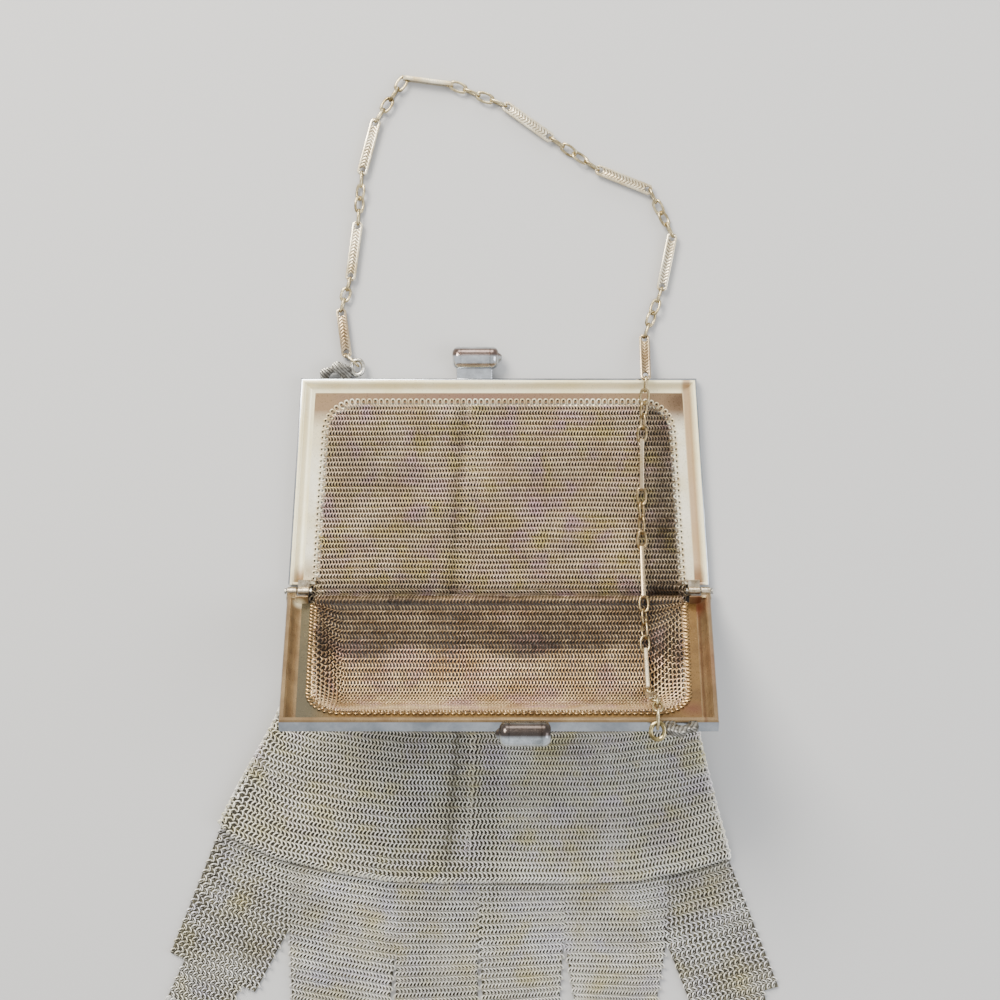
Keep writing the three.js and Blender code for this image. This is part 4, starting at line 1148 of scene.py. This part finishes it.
front_lining = lining("front_under_weave", 101, 61, front_sheet, inner_weave)
front_lining.data.materials.append(skirt_weave)
for face in front_lining.data.polygons:
    face.material_index = int(face.center.y / MM + HINGE_TO_ORIGIN < -24 and face.center.z / MM < 5.6)
lining("back_under_weave", 61, 61, back_sheet, back_weave)
lining("left_gusset_weave", 3, 3, gusset_sheet(-1), inner_weave)
lining("right_gusset_weave", 3, 3, gusset_sheet(1), inner_weave)
lining("left_seam", 41, 3, seam_side(-1.0), skirt_weave)
lining("right_seam", 41, 3, seam_side(1.0), skirt_weave)
lining("bottom_seam", 3, 61, seam_bottom, skirt_weave)


def tab_end(right, left):
    width = np.linalg.norm(right - left)
    tilt = math.degrees(math.atan2(right[1] - left[1], right[0] - left[0]))
    inset = STEP_INSET / width
    second = [mix(right, left, inset), mix(right, left, 1 - inset)]
    low = [ahead(p, tilt, SECOND_STEP) for p in second]
    inner = STEP_INSET / (width - 2 * STEP_INSET)
    third = [mix(low[0], low[1], inner), mix(low[0], low[1], 1 - inner)]
    tip = [ahead(p, tilt, THIRD_STEP) for p in third]
    return [right, second[0], low[0], third[0], tip[0], tip[1], third[1], low[1], second[1], left]


def fringe_outline():
    outline = [join_point(a) for a in JOIN_ACROSS]
    for i in range(len(SLITS), -1, -1):
        left, right = tab_sides(i)
        outline += tab_end(right[-1], left[-1])
        if i > 0:
            apex = slit_apex(SLITS[i - 1])
            outline += [apex + (0.15, 0), apex - (0.15, 0)]
    return [tuple(p) for p in outline]


bm = bmesh.new()
plate(bm, fringe_outline(), [], 0.5, 0.8)
finish(bm, "fringe_under_weave", skirt_weave, ["mesh_fringe"])


# Chain

def piece_frame(start, end, turn):
    """A frame whose X runs along a piece and whose Z is its face, turned about its length."""
    x = (end - start).normalized()
    up = Vector((0, 1, 0)) if abs(x.z) > 0.9 else Vector((0, 0, 1))
    y = up.cross(x).normalized()
    z = x.cross(y)
    basis = Matrix((x, y, z)).transposed().to_4x4()
    return Matrix.Translation((start + end) / 2) @ basis @ Matrix.Rotation(math.radians(turn), 4, "X")


def chain_bar(bm, start, end, turn):
    """A flat bar with cut corners and a hole near each end; its face map is in millimetres."""
    half = (end - start).length / 2
    wide = BAR_WIDTH / 2
    corner = BAR_CORNER
    lower = [(-half, -wide + corner), (-half + corner, -wide), (half - corner, -wide), (half, -wide + corner)]
    outline = lower + [(-x, -y) for x, y in lower]
    holes = [[(sign * (half - BAR_HOLE_INSET) + BAR_HOLE / 2 * math.cos(2 * math.pi * k / 12),
               BAR_HOLE / 2 * math.sin(2 * math.pi * k / 12)) for k in range(12)] for sign in (-1, 1)]
    bar = bmesh.new()
    plate(bar, outline, holes, -BAR_THICKNESS / 2, BAR_THICKNESS / 2, bevel=0.2)
    face = bar.loops.layers.uv.new("face")
    for polygon in bar.faces:
        for loop in polygon.loops:
            loop[face].uv = (loop.vert.co.x, loop.vert.co.y)
    absorb(bm, bar, piece_frame(start, end, turn))


def chain_link(bm, start, end, turn, width):
    length = (end - start).length + 2 * LINK_WIRE - LINK_OVERLAP
    absorb(bm, wire_ring(length, width, LINK_WIRE, 24, 8), piece_frame(start, end, turn))


def link_turns(first, last, count):
    if count < 2:
        return [first]
    total = last - first + 180 * round((90 * (count - 1) - (last - first)) / 180)
    return [first + total * i / (count - 1) for i in range(count)]


def bar_junction(tip, other):
    return tip + (other - tip).normalized() * (BAR_HOLE_INSET - BAR_HOLE / 2 - LINK_OVERLAP)


def route_point(shares):
    y = shares[1] * FRAME_REACH
    z = LINK_WIDTH / 2 + TABLE_GAP + shares[2] * FRAME_REACH
    reach = min(math.hypot(y, z - FRAME_DEPTH), FRAME_REACH)
    return Vector((shares[0] * side_at(reach), y, z))


def carrying_chain():
    route = [(route_point(a), route_point(b), turn, links) for a, b, turn, links in CHAIN_ROUTE]
    bars = bmesh.new()
    links = bmesh.new()
    for start, end, turn, _ in route:
        chain_bar(bars, start, end, turn)
    runs = []
    for (a, b, turn, count), (c, d, next_turn, _) in zip(route, route[1:]):
        first, last = bar_junction(b, a), bar_junction(c, d)
        runs.append(([first.lerp(last, k / count) for k in range(count + 1)], turn + 90, next_turn + 90))
    a, b, turn, _ = route[-1]
    climb = [bar_junction(b, a)] + [route_point(p) for p in CHAIN_TOP]
    runs.append((climb, turn + 90, turn + 180))
    for points_, first, last in runs:
        for start, end, turn in zip(points_, points_[1:], link_turns(first, last, len(points_) - 1)):
            chain_link(links, start, end, turn, LINK_WIDTH)
    clear = EYE_WIRE / 2 + 0.3 + LINK_WIRE / 2
    eye_y, eye_z = front_point(FRAME_REACH + EYE_STANDOFF, BRACKET_DROP)
    front_eye = Vector((EYE_CENTRE, eye_y + (EYE_LENGTH - EYE_WIRE) / 2 - clear, eye_z))
    chain_link(links, climb[-1], front_eye, 90, END_LINK_WIDTH)
    chain_link(links, bar_junction(route[0][0], route[0][1]), Vector(BACK_EYE), 90, END_LINK_WIDTH)
    finish(bars, "chain_bars", bar_gilt, ["chain"])
    finish(links, "chain_links", link_gilt, ["chain"], crisp=80)


carrying_chain()


# Floor, light and camera

def pale_floor():
    """A wide sheet of pale paper under everything."""
    bm = bmesh.new()
    bmesh.ops.create_grid(bm, x_segments=1, y_segments=1, size=3)
    mesh = bpy.data.meshes.new("floor")
    bm.to_mesh(mesh)
    bm.free()
    floor = put("floor", mesh)
    material, tree = blank_material("pale_paper")
    shader = add(tree, "ShaderNodeBsdfPrincipled", {"Base Color": linear("#b0afac"), "Roughness": 0.9})
    add(tree, "ShaderNodeOutputMaterial", {"Surface": shader.outputs["BSDF"]})
    mesh.materials.append(material)


def area_light(name, place, size, power, tint):
    light = bpy.data.lights.new(name, "AREA")
    light.size = size
    light.energy = power
    light.color = linear(tint)[:3]
    lamp = put(name, light)
    lamp.location = place
    target = Vector((0, -0.04, 0))
    lamp.rotation_euler = (target - Vector(place)).to_track_quat("-Z", "Y").to_euler()


pale_floor()
area_light("key", (-0.45, 0.6, 0.8), 0.5, 27, "#fffaf2")
area_light("fill", (0.8, -0.2, 0.7), 0.7, 8, "#eef3ff")
area_light("back_light", (0.1, 1.1, 0.4), 0.5, 8, "#ffffff")

world = bpy.data.worlds.new("studio")
world.use_nodes = True
sky = world.node_tree.nodes["Background"]
sky.inputs["Color"].default_value = linear("#e9ebef")
sky.inputs["Strength"].default_value = 1.35
bpy.context.scene.world = world

camera_data = bpy.data.cameras.new("photo_camera")
camera_data.lens = CAMERA_LENS
camera_data.sensor_width = 36
camera_data.clip_start = 0.01
camera = put("photo_camera", camera_data)
camera.location = TO_ROW @ Vector(CAMERA_PLACE)
bpy.context.scene.camera = camera
